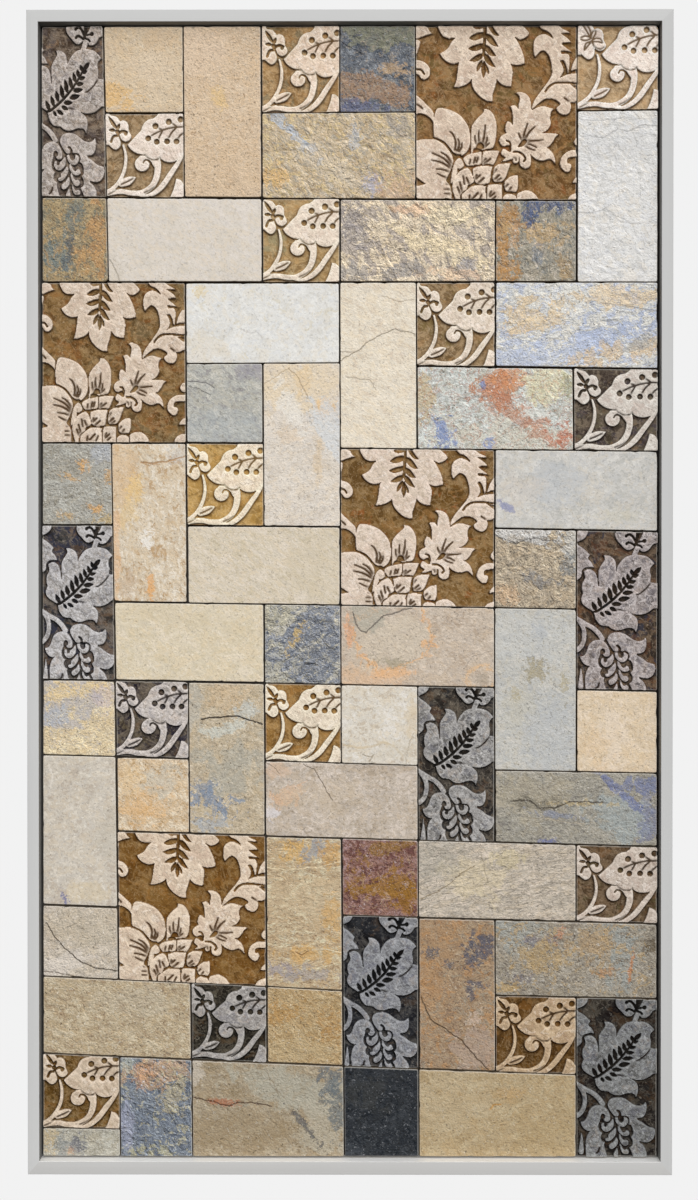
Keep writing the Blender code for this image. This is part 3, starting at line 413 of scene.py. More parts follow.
def packed_stones():
    """For each stone: its node, its corners and the depths of its faces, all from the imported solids."""
    found = {}
    for name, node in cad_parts.items():
        codes = [word for word in name.split("_") if word[0] in "STLP" and word[1:].isdigit()]
        if not codes:
            continue
        mesh = node.data
        points = np.array([vertex.co for vertex in mesh.vertices]) / MM
        flat = points[:, (0, 2)]
        bed = points[:, 1].max()
        if len(codes) == 1:
            levels = sorted(set(np.round(-points[:, 1], 1)))
            corners = quad_of(flat[points[:, 1] > bed - 0.05])
            ground, top = levels[-2:]
            found[codes[0]] = {"node": name, "corners": corners, "face": top, "ground": ground, "bed": -bed}
            continue
        fronts = {}
        for face in mesh.polygons:
            if face.normal.y < -0.99 and -face.center.y / MM > -bed + FRONT_CLEAR:
                fronts.setdefault(round(-face.center.y / MM, 1), []).extend(face.vertices)
        places = []
        for depth, members in fronts.items():
            corners = grown(quad_of(flat[members]), ARRIS - PAIR_GAP)
            places.append({"node": name, "corners": corners, "face": depth, "ground": depth, "bed": -bed})
        # The codes in the node's name run from the upper left.
        places.sort(key=lambda place: 0.3 * place["corners"][0, 0] - place["corners"][0, 1])
        for code, place in zip(codes, places):
            found[code] = place
    return found


# ---------------------------------------------------------------- random relief
def bumps(x, z, size, seed):
    """Smooth heights from -1 to 1, with features about this size."""
    table = np.random.default_rng(seed).uniform(-1.0, 1.0, (64, 64))
    u, v = x / size + 17.3, z / size + 41.9
    i, j = np.floor(u).astype(int), np.floor(v).astype(int)
    a, b = u - i, v - j
    a, b = a * a * (3.0 - 2.0 * a), b * b * (3.0 - 2.0 * b)
    i, j, k, m = i % 64, j % 64, (i + 1) % 64, (j + 1) % 64
    near = table[i, j] * (1.0 - a) + table[k, j] * a
    far = table[i, m] * (1.0 - a) + table[k, m] * a
    return near * (1.0 - b) + far * b


def rough(x, z, size, seed, octaves=3):
    """Bumps on bumps."""
    total, strength = 0.0, 1.0
    for octave in range(octaves):
        total = total + strength * bumps(x, z, size, seed + 101 * octave)
        strength *= 0.55
        size /= 2.1
    return total


def turned(x, z, degrees, stretch):
    """Coordinates turned and squeezed, so that features run along a direction."""
    angle = math.radians(degrees)
    along = x * math.cos(angle) + z * math.sin(angle)
    across = -x * math.sin(angle) + z * math.cos(angle)
    return along / stretch, across


def ridged(x, z, size, seed, octaves=3):
    """Sharp little ridges, as on a split face."""
    total, strength = 0.0, 1.0
    for octave in range(octaves):
        total = total + strength * (1.0 - 2.0 * np.abs(bumps(x, z, size, seed + 67 * octave)))
        strength /= 2.0
        size /= 2.0
    return total


# ---------------------------------------------------------------- distances to the carving
def off_run(start, end, x, z):
    """How far each place lies from a straight run, across and up, and how far along the run, from 0 to 1."""
    (ax, az), (dx, dz) = start, (end[0] - start[0], end[1] - start[1])
    t = np.clip(((x - ax) * dx + (z - az) * dz) / max(dx * dx + dz * dz, 1.0e-9), 0.0, 1.0)
    return x - ax - dx * t, z - az - dz * t, t


def signed_distance(shape, x, z):
    """Distance (mm) into a closed outline or a stroke, negative outside it."""
    kind, points, widths = shape
    best = np.full(x.shape, 1.0e9)
    if kind == "line":
        for start, end, wide, next_wide in zip(points, points[1:], widths, widths[1:]):
            off_x, off_z, t = off_run(start, end, x, z)
            best = np.minimum(best, np.hypot(off_x, off_z) - (wide + (next_wide - wide) * t) / 2.0)
        return -best
    turns = np.zeros(x.shape, int)
    for start, end in zip(points, np.roll(points, -1, axis=0)):
        off_x, off_z, t = off_run(start, end, x, z)
        best = np.minimum(best, off_x ** 2 + off_z ** 2)
        (ax, az), (bx, bz) = start, end
        if az != bz:
            crosses = ((az > z) != (bz > z)) & (x < ax + (bx - ax) * (z - az) / (bz - az))
            turns += np.where(crosses, 1 if bz > az else -1, 0)
    return np.sqrt(best) * np.where(turns != 0, 1.0, -1.0)


def highest(shapes, x, z):
    """Distance into the nearest of several shapes."""
    best = np.full(x.shape, -REACH)
    for shape in shapes:
        points = shape[1]
        spare = REACH + (shape[2].max() / 2.0 if shape[2] is not None else 0.0)
        near = (x > points[:, 0].min() - spare) & (x < points[:, 0].max() + spare)
        near &= (z > points[:, 1].min() - spare) & (z < points[:, 1].max() + spare)
        if near.any():
            best[near] = np.maximum(best[near], signed_distance(shape, x[near], z[near]))
    return best


def on_stone(shapes, corners, sitting):
    """Shapes drawn in hundredths of a stone, laid on the stone where its design sits."""
    right, lower, wide, tall = sitting
    laid = []
    for kind, points, widths in shapes:
        points = points + RUN_OFF * ((points > 100.0).astype(float) - (points < 0.0))
        across = 0.5 + ((points[:, :1] - 50.0) * wide + right) / 100.0
        down = 0.5 + ((points[:, 1:] - 50.0) * tall + lower) / 100.0
        top = corners[0] + (corners[1] - corners[0]) * across
        bottom = corners[3] + (corners[2] - corners[3]) * across
        laid.append((kind, top + (bottom - top) * down, widths))
    return laid


# ---------------------------------------------------------------- the surface of a stone
def edge_spaced(length, step):
    """Places along a side: close together over the arris and even between."""
    near = np.array(EDGE_LINES)
    count = max(2, int(round((length - 2.0 * near[-1]) / step)))
    middle = np.linspace(near[-1], length - near[-1], count + 1)
    return np.concatenate([near[:-1], middle, length - near[-2::-1]])


class StoneFace:
    """The front of one stone as a grid of points, with its distance from the edge."""

    def __init__(self, code, place, step):
        self.code = code
        self.place = place
        self.seed = 1000 + sum(ord(letter) * 31 ** i for i, letter in enumerate(code)) % 9000
        corners = place["corners"]
        self.width = (np.hypot(*(corners[1] - corners[0])) + np.hypot(*(corners[2] - corners[3]))) / 2.0
        self.height = (np.hypot(*(corners[3] - corners[0])) + np.hypot(*(corners[2] - corners[1]))) / 2.0
        self.across = edge_spaced(self.width, step)
        self.down = edge_spaced(self.height, step)
        s, t = np.meshgrid(self.across, self.down)
        a, b = np.minimum(s, self.width - s), np.minimum(t, self.height - t)
        self.edge = np.minimum(a, b)
        left, top = s < self.width / 2.0, t < self.height / 2.0
        # The corners are drawn in to a round.
        near_a, near_b = np.maximum(CORNER_ROUND - a, 0.0), np.maximum(CORNER_ROUND - b, 0.0)
        squeeze = np.maximum(near_a, near_b) / np.maximum(np.hypot(near_a, near_b), 1.0e-9)
        in_corner = (near_a > 0.0) & (near_b > 0.0)
        a = np.where(in_corner, CORNER_ROUND - near_a * squeeze, a)
        b = np.where(in_corner, CORNER_ROUND - near_b * squeeze, b)
        # The edge wanders, and has a nick here and there.
        wander = 0.10 + 0.12 * rough(s + self.seed % 97 * 7.0, t, 16.0, self.seed, 2)
        nick = np.maximum(bumps(s + 3.0, t + 9.0, 9.0, self.seed + 5) - 0.58, 0.0) * 2.4
        self.nick = nick * np.exp(-self.edge / 2.0)
        push = wander + nick
        a = a + push * np.exp(-a / 2.5)
        b = b + push * np.exp(-b / 2.5)
        s = np.where(left, a, self.width - a)
        t = np.where(top, b, self.height - b)
        u, v = (s / self.width)[..., None], (t / self.height)[..., None]
        flat = (corners[0] * (1 - u) + corners[1] * u) * (1 - v) + (corners[3] * (1 - u) + corners[2] * u) * v
        self.x, self.z = flat[..., 0], flat[..., 1]
        self.marks = {"edge": np.minimum(self.edge, 12.0)}

    def arris_drop(self, radius):
        """How far the rounded arris falls behind the face."""
        inside = np.clip(radius - self.edge, 0.0, radius)
        return radius - np.sqrt(np.maximum(radius * radius - inside * inside, 0.0))

    def slope(self, values):
        """Rise of the values across and up the stone."""
        down, across = np.gradient(values, self.down, self.across)
        return across, -down


def plain_face(code, place, finish):
    """A plain stone: its face follows the way that it was split, tumbled or honed."""
    face = StoneFace(code, place, PLAIN_STEP)
    x, z, seed = face.x, face.z, face.seed
    kind, depth, angle = finish
    if kind == "riven":
        along, across = turned(x, z, angle, 2.4)
        relief = 0.5 * ridged(along, across, 22.0, seed) + 0.35 * rough(x, z, 9.0, seed + 3)
    elif kind == "waved":
        along, across = turned(x, z, angle, 4.0)
        relief = 0.75 * ridged(along, across, 17.0, seed, 2) + 0.3 * rough(x, z, 30.0, seed + 3)
    else:
        relief = 0.6 * rough(x, z, 45.0, seed, 2) + 0.3 * rough(x, z, 11.0, seed + 3)
    relief = relief * depth * np.clip(face.edge / 5.0, 0.35, 1.0)
    radius = PLAIN_ARRIS + 0.4 * bumps(x, z, 21.0, seed + 9) + np.minimum(face.nick, 1.2)
    face.depth = place["face"] + relief - face.arris_drop(radius)
    return face


def carved_face(code, place):
    """A carved stone: leaves and stems stand above a sunk ground, and fine veins are cut into them."""
    kind = code[0]
    face = StoneFace(code, place, CARVED_STEP[kind])
    corners, seed = place["corners"], face.seed
    raised, cut, veins = [on_stone(shapes, corners, DESIGN_SITS[code]) for shapes in DESIGNS[kind](code)]
    into = np.minimum(highest(raised, face.x, face.z), -highest(cut, face.x, face.z))
    into += WAVER * rough(face.x, face.z, 7.0, seed + 21, 2)
    across, up = face.slope(into)
    steep = np.maximum(np.hypot(across, up), 0.3)
    across, up = across / steep, up / steep
    target = np.where(into > 0.0, WALL, -WALL)
    most = SLIDE * CARVED_STEP[kind]
    move = np.clip(target - into, -most, most)
    move = np.where(np.abs(into) < 1.0, move, 0.0) * np.clip(face.edge / 1.5 - 0.3, 0.0, 1.0)
    face.x, face.z = face.x + across * move, face.z + up * move
    along_vein = highest(veins, face.x, face.z)
    vein = np.clip(0.5 + (along_vein + 0.6) / 0.8, 0.0, 1.0) * (into > 0.0)
    top, ground = place["face"], place["ground"]
    from_wall = np.abs(into)
    rim = np.exp(-np.maximum(from_wall - WALL, 0.0) / 0.9)
    dome = DOME * (1.0 - np.exp(-from_wall / 5.0))
    high = top - WORN - RIM_ROLL * rim + dome + 0.07 * rough(face.x, face.z, 9.0, seed + 2) - GROOVE * vein
    low = ground + GROUND_RISE * rim + 0.2 * rough(face.x, face.z, 14.0, seed + 4)
    level = np.where(into > 0.0, high, low)
    face.depth = level - face.arris_drop(CARVED_ARRIS + 0.25 * bumps(face.x, face.z, 21.0, seed + 9))
    # Painted shadow on the ground beside each raised edge away from the light; painted highlight along the
    # rims.
    toward_light = across * LIGHT_FROM[0] + up * LIGHT_FROM[1]
    painted_shade = np.exp(-np.maximum(from_wall - 1.3, 0.0) / 1.2) * np.clip(0.5 + 0.8 * toward_light, 0.08, 1.0)
    # The fern's narrow cuts are painted in shade all through.
    if kind == "T":
        painted_shade = np.maximum(painted_shade, 0.85 * (highest(cut, face.x, face.z) > 0.0))
    painted_highlight = np.where(into > 0.0, np.exp(-np.maximum(into - 0.3, 0.0) / 1.3), 0.0)
    face.marks["raised"] = (into > 0.0).astype(float)
    face.marks["painted_shade"] = np.where(into > 0.0, 0.3 * painted_shade * (into < 0.6), painted_shade)
    face.marks["painted_rim_highlight"] = painted_highlight * np.clip(0.8 - 0.3 * toward_light, 0.5, 1.0)
    face.marks["vein"] = vein
    return face


def stone_mesh(name, face):
    """A closed mesh: the worked front, plain sides down to the bed and a flat back."""
    rows, columns = face.x.shape
    front = np.stack([face.x, -face.depth, face.z], axis=-1).reshape(-1, 3)
    number = np.arange(rows * columns).reshape(rows, columns)
    a, b = number[:-1, :-1].ravel(), number[:-1, 1:].ravel()
    c, d = number[1:, 1:].ravel(), number[1:, :-1].ravel()
    height = front[:, 1]
    cut_ac = np.abs(height[a] - height[c]) <= np.abs(height[b] - height[d])
    first = np.where(cut_ac[:, None], np.stack([a, d, c], 1), np.stack([a, d, b], 1))
    second = np.where(cut_ac[:, None], np.stack([a, c, b], 1), np.stack([b, d, c], 1))
    ring = np.concatenate([number[0, :-1], number[:-1, -1], number[-1, :0:-1], number[:0:-1, 0]])
    bed_start = len(front)
    bed = front[ring].copy()
    bed[:, 1] = -face.place["bed"]
    count = len(ring)
    middle = bed.mean(axis=0)[None]
    points = np.concatenate([front, bed, middle])
    lower = bed_start + np.arange(count)
    upper_next, lower_next = np.roll(ring, -1), np.roll(lower, -1)
    sides = np.concatenate([
        np.stack([ring, upper_next, lower], 1), np.stack([upper_next, lower_next, lower], 1),
        np.stack([lower, lower_next, np.full(count, len(points) - 1)], 1),
    ])
    triangles = np.concatenate([first, second, sides])
    mesh = bpy.data.meshes.new(name)
    mesh.vertices.add(len(points))
    mesh.vertices.foreach_set("co", (points * MM).astype(np.float32).ravel())
    mesh.loops.add(len(triangles) * 3)
    mesh.loops.foreach_set("vertex_index", triangles.astype(np.int32).ravel())
    mesh.polygons.add(len(triangles))
    mesh.polygons.foreach_set("loop_start", np.arange(0, len(triangles) * 3, 3, dtype=np.int32))
    mesh.update(calc_edges=True)
    for mark, values in face.marks.items():
        held = mesh.attributes.new(mark, "FLOAT", "POINT")
        below = np.zeros(len(points) - len(front))
        held.data.foreach_set("value", np.concatenate([values.ravel(), below]).astype(np.float32))
    mesh.shade_smooth()
    mesh.set_sharp_from_angle(angle=SHARP)
    mesh.validate()
    return mesh


def add_piece(name, mesh, material, nodes):
    """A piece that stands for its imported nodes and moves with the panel."""
    mesh.materials.append(material)
    piece = bpy.data.objects.new(name, mesh)
    bpy.context.scene.collection.objects.link(piece)
    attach(piece, "root")
    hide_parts(*nodes)
    return piece


# ---------------------------------------------------------------- nodes
def tone(red, green, blue):
    """A colour chip, each part from 0 to 255, as a shader colour."""
    parts = []
    for part in (red, green, blue):
        share = part / 255.0
        parts.append(share / 12.92 if share <= 0.04045 else ((share + 0.055) / 1.055) ** 2.4)
    return (*parts, 1.0)


class Bench:
    """Lays out and joins the nodes of one material or node group."""

    def __init__(self, tree):
        self.tree = tree

    def add(self, kind, inputs=(), **settings):
        node = self.tree.nodes.new(kind)
        place = len(self.tree.nodes)
        node.location = (190.0 * (place % 10), -260.0 * (place // 10))
        for key, value in settings.items():
            setattr(node, key, value)
        for key, value in dict(inputs).items():
            self.feed(node.inputs[key], value)
        return node

    def feed(self, socket, value):
        if isinstance(value, bpy.types.NodeSocket):
            self.tree.links.new(value, socket)
        else:
            socket.default_value = value

    def math(self, operation, a, b=0.0, clamp=False):
        return self.add("ShaderNodeMath", {0: a, 1: b}, operation=operation, use_clamp=clamp).outputs[0]

    def plus(self, a, b):
        return self.math("ADD", a, b)

    def minus(self, a, b):
        return self.math("SUBTRACT", a, b)

    def times(self, a, b):
        return self.math("MULTIPLY", a, b)

    def off(self, value, middle):
        """How far a value is from a middle one, either way."""
        return self.math("ABSOLUTE", self.minus(value, middle))

    def vector(self, operation, a, b=(0.0, 0.0, 0.0)):
        node = self.add("ShaderNodeVectorMath", {0: a, 1: b}, operation=operation)
        return node.outputs["Value" if operation in ("LENGTH", "DOT_PRODUCT") else "Vector"]

    def mix(self, factor, a, b, blend="MIX"):
        node = self.add("ShaderNodeMix", {0: factor, 6: a, 7: b}, data_type="RGBA", blend_type=blend)
        return node.outputs[2]

    def span(self, value, low, high, to_low=0.0, to_high=1.0):
        inputs = {"Value": value, "From Min": low, "From Max": high, "To Min": to_low, "To Max": to_high}
        return self.add("ShaderNodeMapRange", inputs, interpolation_type="SMOOTHSTEP").outputs[0]

    def noise(self, place, scale, seed, detail=3.0, roughness=0.6, distortion=0.0, output="Fac"):
        """Clouded noise; each seed reads it at another far place."""
        if not isinstance(seed, bpy.types.NodeSocket):
            seed = (seed, seed, seed)
        place = self.vector("ADD", place, self.vector("MULTIPLY", seed, (1.37, 0.73, 2.11)))
        inputs = {"Vector": place, "Scale": scale, "Detail": detail, "Roughness": roughness}
        inputs["Distortion"] = distortion
        return self.add("ShaderNodeTexNoise", inputs).outputs[output]

    def attribute(self, name):
        return self.add("ShaderNodeAttribute", attribute_name=name).outputs["Fac"]

    def here(self):
        return self.add("ShaderNodeTexCoord").outputs["Object"]

    def turn(self, place, angle):
        """The place turned so that features run clockwise from level, seen from the front."""
        settings = {"rotation_type": "Y_AXIS", "invert": True}
        return self.add("ShaderNodeVectorRotate", {"Vector": place, "Angle": angle}, **settings).outputs[0]

    def facing(self, direction):
        """How squarely the surface faces a direction, from -1 to 1."""
        return self.vector("DOT_PRODUCT", self.add("ShaderNodeNewGeometry").outputs["Normal"], direction)

    def xyz(self, x, y, z):
        return self.add("ShaderNodeCombineXYZ", {"X": x, "Y": y, "Z": z}).outputs[0]

    def laid(self, given):
        """This place, turned and squeezed, so that features run along the stone."""
        place = self.turn(self.here(), given["Turn"])
        return self.vector("MULTIPLY", place, self.xyz(1.0, 1.0, given["Stretch"]))

    def bump(self, height, strength, distance):
        inputs = {"Strength": strength, "Distance": distance, "Height": height}
        return self.add("ShaderNodeBump", inputs).outputs[0]

    def mottle(self, light, middle, dark, size, stretch, turn, seed):
        """Three shades clouded into each other; the size is in millimetres."""
        return self.group(
            stone_mottle, Light=tone(*light), Middle=tone(*middle), Dark=tone(*dark), Size=size * MM,
            Stretch=stretch, Turn=turn, Seed=seed)

    def group(self, tree, **inputs):
        node = self.add("ShaderNodeGroup")
        node.node_tree = tree
        for key, value in inputs.items():
            self.feed(node.inputs[key.replace("_", " ")], value)
        return node.outputs


def effect(takes, gives="Mask"):
    """Makes a function into a node group; "*" marks a colour socket and "+" a vector one."""
    def build(lay_out):
        tree = bpy.data.node_groups.new(lay_out.__name__, "ShaderNodeTree")
        for side, labels in (("INPUT", takes), ("OUTPUT", gives)):
            for label in labels.split():
                kind = {"*": "NodeSocketColor", "+": "NodeSocketVector"}.get(label[-1], "NodeSocketFloat")
                tree.interface.new_socket(name=label.rstrip("*+"), in_out=side, socket_type=kind)
        bench = Bench(tree)
        given, out = bench.add("NodeGroupInput").outputs, bench.add("NodeGroupOutput").inputs
        for socket, value in zip(out, lay_out(bench, given)):
            bench.feed(socket, value)
        return tree
    return build


def new_material(name):
    """A node material: itself, its bench and its Principled shader."""
    material = bpy.data.materials.new(name)
    material.use_nodes = True
    return material, Bench(material.node_tree), material.node_tree.nodes["Principled BSDF"]


# ---------------------------------------------------------------- effects shared by the stones
@effect("Light* Middle* Dark* Size Stretch Turn Seed", "Color* Height")
def stone_mottle(bench, given):
    """Three shades of one stone, clouded into each other."""
    place = bench.laid(given)
    scale = bench.math("DIVIDE", 1.0, given["Size"])
    broad = bench.noise(place, scale, given["Seed"], 4.0, 0.66, 0.6)
    fine = bench.noise(place, bench.times(scale, 3.4), given["Seed"], 3.5, 0.76, 0.8)
    level = bench.plus(bench.times(broad, 0.45), bench.times(fine, 0.55))
    colour = bench.mix(bench.span(level, 0.44, 0.47), given["Dark"], given["Middle"])
    colour = bench.mix(bench.span(level, 0.52, 0.55), colour, given["Light"])
    return [colour, level]


@effect("Size Stretch Turn Level Softness Seed")
def mineral_blotches(bench, given):
    """Ragged areas all over a stone where a clouded level is passed."""
    place = bench.laid(given)
    level = bench.noise(place, bench.math("DIVIDE", 1.0, given["Size"]), given["Seed"], 3.5, 0.62, 1.0)
    low = bench.minus(given["Level"], given["Softness"])
    high = bench.plus(given["Level"], given["Softness"])
    return [bench.span(level, low, high)]


@effect("Size Stretch Turn Width Seed")
def mineral_veins(bench, given):
    """Thin wandering veins of another mineral."""
    place = bench.laid(given)
    level = bench.noise(place, bench.math("DIVIDE", 1.0, given["Size"]), given["Seed"], 4.0, 0.6, 0.6)
    return [bench.span(bench.off(level, 0.5), 0.0, given["Width"], 1.0, 0.0)]


@effect("Centre+ Reach+ Turn Ragged Soft Size Seed", "Mask Ring")
def ragged_stain(bench, given):
    """One stain with a ragged edge; its ring is the band along that edge."""
    place = bench.turn(bench.vector("SUBTRACT", bench.here(), given["Centre"]), given["Turn"])
    place = bench.vector("MULTIPLY", bench.vector("DIVIDE", place, given["Reach"]), (1.0, 0.0, 1.0))
    away = bench.vector("LENGTH", place)
    scale = bench.math("DIVIDE", 1.0, given["Size"])
    broad = bench.noise(bench.here(), scale, given["Seed"], 3.0, 0.6, 1.0)
    fine = bench.noise(bench.here(), bench.times(scale, 3.5), given["Seed"], 3.0, 0.6, 1.2)
    wander = bench.plus(bench.times(broad, 3.4), bench.times(fine, 1.8))
    wander = bench.times(bench.minus(wander, 2.6), given["Ragged"])
    away = bench.plus(away, wander)
    low = bench.minus(1.0, given["Soft"])
    high = bench.plus(1.0, given["Soft"])
    thin = bench.span(fine, 0.44, 0.48, 0.65, 1.0)
    inside = bench.times(bench.span(away, low, high, 1.0, 0.0), thin)
    rim = bench.span(bench.off(away, 1.0), 0.0, given["Soft"], 1.0, 0.0)
    return [inside, bench.times(rim, thin)]


@effect("Size Amount Seed", "Place+")
def wandering_place(bench, given):
    """The place, pushed about a little, for lines that are not quite straight."""
    push = bench.noise(
        bench.here(), bench.math("DIVIDE", 1.0, given["Size"]), given["Seed"], 3.0, 0.68, 0.0, "Color")
    push = bench.vector("SUBTRACT", push, (0.5, 0.5, 0.5))
    amount = bench.xyz(given["Amount"], 0.0, given["Amount"])
    return [bench.vector("ADD", bench.here(), bench.vector("MULTIPLY", push, amount))]


@effect("Place+ From+ To+ Width")
def crack_run(bench, given):
    """One straight run of a crack."""
    flat = (1.0, 0.0, 1.0)
    away = bench.vector("MULTIPLY", bench.vector("SUBTRACT", given["Place"], given["From"]), flat)
    run = bench.vector("MULTIPLY", bench.vector("SUBTRACT", given["To"], given["From"]), flat)
    along = bench.vector("DOT_PRODUCT", away, run)
    along = bench.math("DIVIDE", along, bench.vector("DOT_PRODUCT", run, run), clamp=True)
    shape = bench.add("ShaderNodeVectorMath", {0: run, "Scale": along}, operation="SCALE").outputs[0]
    off = bench.vector("LENGTH", bench.vector("SUBTRACT", away, shape))
    return [bench.span(off, bench.times(given["Width"], 0.2), given["Width"], 1.0, 0.0)]


@effect("Size Stretch Turn Amount Flake Seed", "Factor Height")
def grain_and_painted_shade(bench, given):
    """Split ridges, flake edges, pits and chips: painted highlight where they face the light, painted shade
    behind.
    """
    squeeze = bench.xyz(1.0, 1.0, given["Stretch"])
    scale = bench.math("DIVIDE", 1.0, given["Size"])

    def height_at(place):
        place = bench.vector("MULTIPLY", bench.turn(place, given["Turn"]), squeeze)
        tooth = bench.noise(place, bench.times(scale, 2.2), given["Seed"], 2.0, 0.65)
        layers = bench.noise(place, bench.times(scale, 0.3), given["Seed"], 2.0, 0.55, 1.2)
        layers = bench.times(layers, 10.0)
        riser = bench.span(bench.math("FRACT", layers), 0.0, 0.22)
        layers = bench.times(bench.plus(bench.math("FLOOR", layers), riser), 0.26)
        split = bench.times(layers, given["Flake"])
        chips = bench.noise(place, bench.times(scale, 1.5), given["Seed"], 2.0, 0.7, 1.0)
        pits = bench.span(chips, 0.59, 0.615, 0.0, -0.4)
        scales = bench.span(chips, 0.375, 0.40, 0.28, 0.0)
        crease = bench.noise(place, bench.times(scale, 0.42), given["Seed"], 3.5, 0.7, 0.6)
        crease = bench.span(bench.off(crease, 0.5), 0.0, 0.012, -0.3, 0.0)
        worn = bench.plus(bench.plus(pits, scales), crease)
        worn = bench.plus(bench.times(worn, 0.42), tooth)
        return bench.plus(bench.times(worn, given["Amount"]), split)

    here = height_at(bench.here())
    toward_light = height_at(bench.vector("ADD", bench.here(), (0.45 * MM, 0.0, 0.9 * MM)))
    # The factor is painted light: the height here less the height a little towards the light.
    return [bench.plus(1.0, bench.minus(here, toward_light)), here]


@effect("Color* Joint* Dust Dirt", "Color*")
def stone_edge(bench, given):
    """Painted highlight on the upper arris, painted shade on the lower one, and dark joint colour at the very
    edge.
    """
    edge = bench.attribute("edge")
    up = bench.facing((0.45, 0.0, 0.89))
    band = bench.span(edge, 0.8, 1.8, 1.0, 0.0)
    # Painted highlight: the arris that faces the light is paled.
    painted_highlight = bench.times(bench.span(up, -0.5, 0.45), bench.times(band, given["Dust"]))
    # Painted shade: the arris that faces down takes the dark joint colour.
    painted_shade = bench.times(bench.span(up, -0.4, -0.7), bench.times(band, given["Dirt"]))
    pale = bench.mix(0.5, given["Color"], (0.80, 0.77, 0.71, 1.0))
    colour = bench.mix(painted_highlight, given["Color"], pale)
    colour = bench.mix(painted_shade, colour, given["Joint"])
    deep = bench.times(bench.span(edge, 0.0, 0.35, 1.0, 0.0), 0.9)
    return [bench.mix(deep, colour, given["Joint"])]


@effect("Along+ Seed", "Factor Roughness")
def satin_brushing(bench, given):
    """The fine lines and faint clouds of satin metal."""
    lines = bench.noise(bench.vector("MULTIPLY", bench.here(), given["Along"]), 1.0, given["Seed"], 2.0, 0.5)
    clouds = bench.noise(bench.here(), 9.0, given["Seed"], 3.0, 0.5)
    both = bench.plus(bench.times(lines, 0.6), bench.times(clouds, 0.4))
    return [bench.span(both, 0.3, 0.7, 0.965, 1.02), bench.span(both, 0.3, 0.7, 0.58, 0.66)]


# The dark colour of the joints, which also serves as painted shade on the arrises that face down.
JOINT_DIRT_AND_SHADE = tone(112, 97, 78)


class StoneWork(Bench):
    """One stone's material, laid on in layers."""

    def __init__(self, name, face):
        self.material, bench, self.shader = new_material(name)
        super().__init__(bench.tree)
        self.face = face
        self.seed = face.seed % 700 / 7.0
        self.colour = None
        self.heights = []

    def next_seed(self):
        self.seed += 1.37
        return self.seed

    def point(self, across, down):
        """A place on the stone, in hundredths, in metres."""
        corners = self.face.place["corners"]
        u, v = across / 100.0, down / 100.0
        top = corners[0] + (corners[1] - corners[0]) * u
        bottom = corners[3] + (corners[2] - corners[3]) * u
        x, z = (top + (bottom - top) * v) * MM
        return (x, 0.0, z)

    def reach(self, across, down):
        return (across / 100.0 * self.face.width * MM, 1.0, down / 100.0 * self.face.height * MM)

    def tint(self, mask, shade, strength, step=0.0):
        factor = self.times(mask, strength)
        self.colour = self.mix(factor, self.colour, tone(*shade))
        if step:
            self.heights.append((mask, step))

    def lay(self, layers):
        for layer in layers:
            layer(self)

    def complete(self, grain, flake, size, stretch, turn, roughness, dust, dirt):
        """Grain and edges with their painted highlights and shade, relief, and the join to the shader."""
        fine = self.group(grain_and_painted_shade, Size=size * MM, Stretch=stretch, Turn=math.radians(turn), Amount=grain,
                          Flake=flake, Seed=self.next_seed())
        # The grain's painted light and shade from its own relief darken or lighten the colour.
        colour = self.mix(1.0, self.colour, fine["Factor"], "MULTIPLY")
        colour = self.group(stone_edge, Color=colour, Joint=JOINT_DIRT_AND_SHADE, Dust=dust, Dirt=dirt)["Color"]
        height = self.times(fine["Height"], 0.3)
        for mask, step in self.heights:
            height = self.plus(height, self.times(mask, step))
        self.feed(self.shader.inputs["Base Color"], colour)
        self.feed(self.shader.inputs["Normal"], self.bump(height, 1.0, MM))
        self.shader.inputs["Roughness"].default_value = roughness
        self.shader.inputs["Specular IOR Level"].default_value = 0.02
        return self.material


# ---------------------------------------------------------------- layers of a plain stone
def level_for(share):
    """The clouded level that about this share of a stone passes."""
    return 0.5 + 0.23 * (0.5 - share) + 0.3 * (0.5 - share) ** 3


def stain(kind, shade, places, ragged, soft, strength, turn, step):
    """One ragged stain, or its rim; the places are its middle and its reach in hundredths of the stone."""
    def lay(work):
        middle, reach = work.point(*places[0]), work.reach(*places[1])
        mask = work.group(
            ragged_stain, Centre=middle, Reach=reach, Turn=math.radians(turn), Ragged=ragged, Soft=soft,
            Size=(reach[0] + reach[2]) * 0.45, Seed=work.next_seed())[kind]
        work.tint(mask, shade, strength, step)
    return lay


def patch(shade, places, ragged=0.5, soft=0.35, strength=0.8, turn=0.0, step=0.0):
    """A stain of one colour."""
    return stain("Mask", shade, places, 1.2 * ragged, 0.4 * soft + 0.02, strength, turn, step)


def ring(shade, places, ragged=0.3, soft=0.2, strength=0.8, turn=0.0, step=0.0):
    """A stain's rim only."""
    return stain("Ring", shade, places, ragged, soft, strength, turn, step)


def blotches(shade, size, share, strength=0.6, stretch=1.0, turn=0.0, soft=0.03, step=0.0):
    """Areas of another colour all over; the size is in millimetres."""
    def lay(work):
        mask = work.group(
            mineral_blotches, Size=size * MM, Stretch=stretch, Turn=math.radians(turn),
            Level=level_for(share), Softness=soft, Seed=work.next_seed())["Mask"]
        work.tint(mask, shade, strength, step)
    return lay


def veins(shade, size, width=0.02, strength=0.6, stretch=1.0, turn=0.0, step=0.0):
    """Thin wandering veins; the size of their loops is in millimetres."""
    def lay(work):
        mask = work.group(
            mineral_veins, Size=size * MM, Stretch=stretch, Turn=math.radians(turn), Width=width,
            Seed=work.next_seed())["Mask"]
        work.tint(mask, shade, strength, step)
    return lay


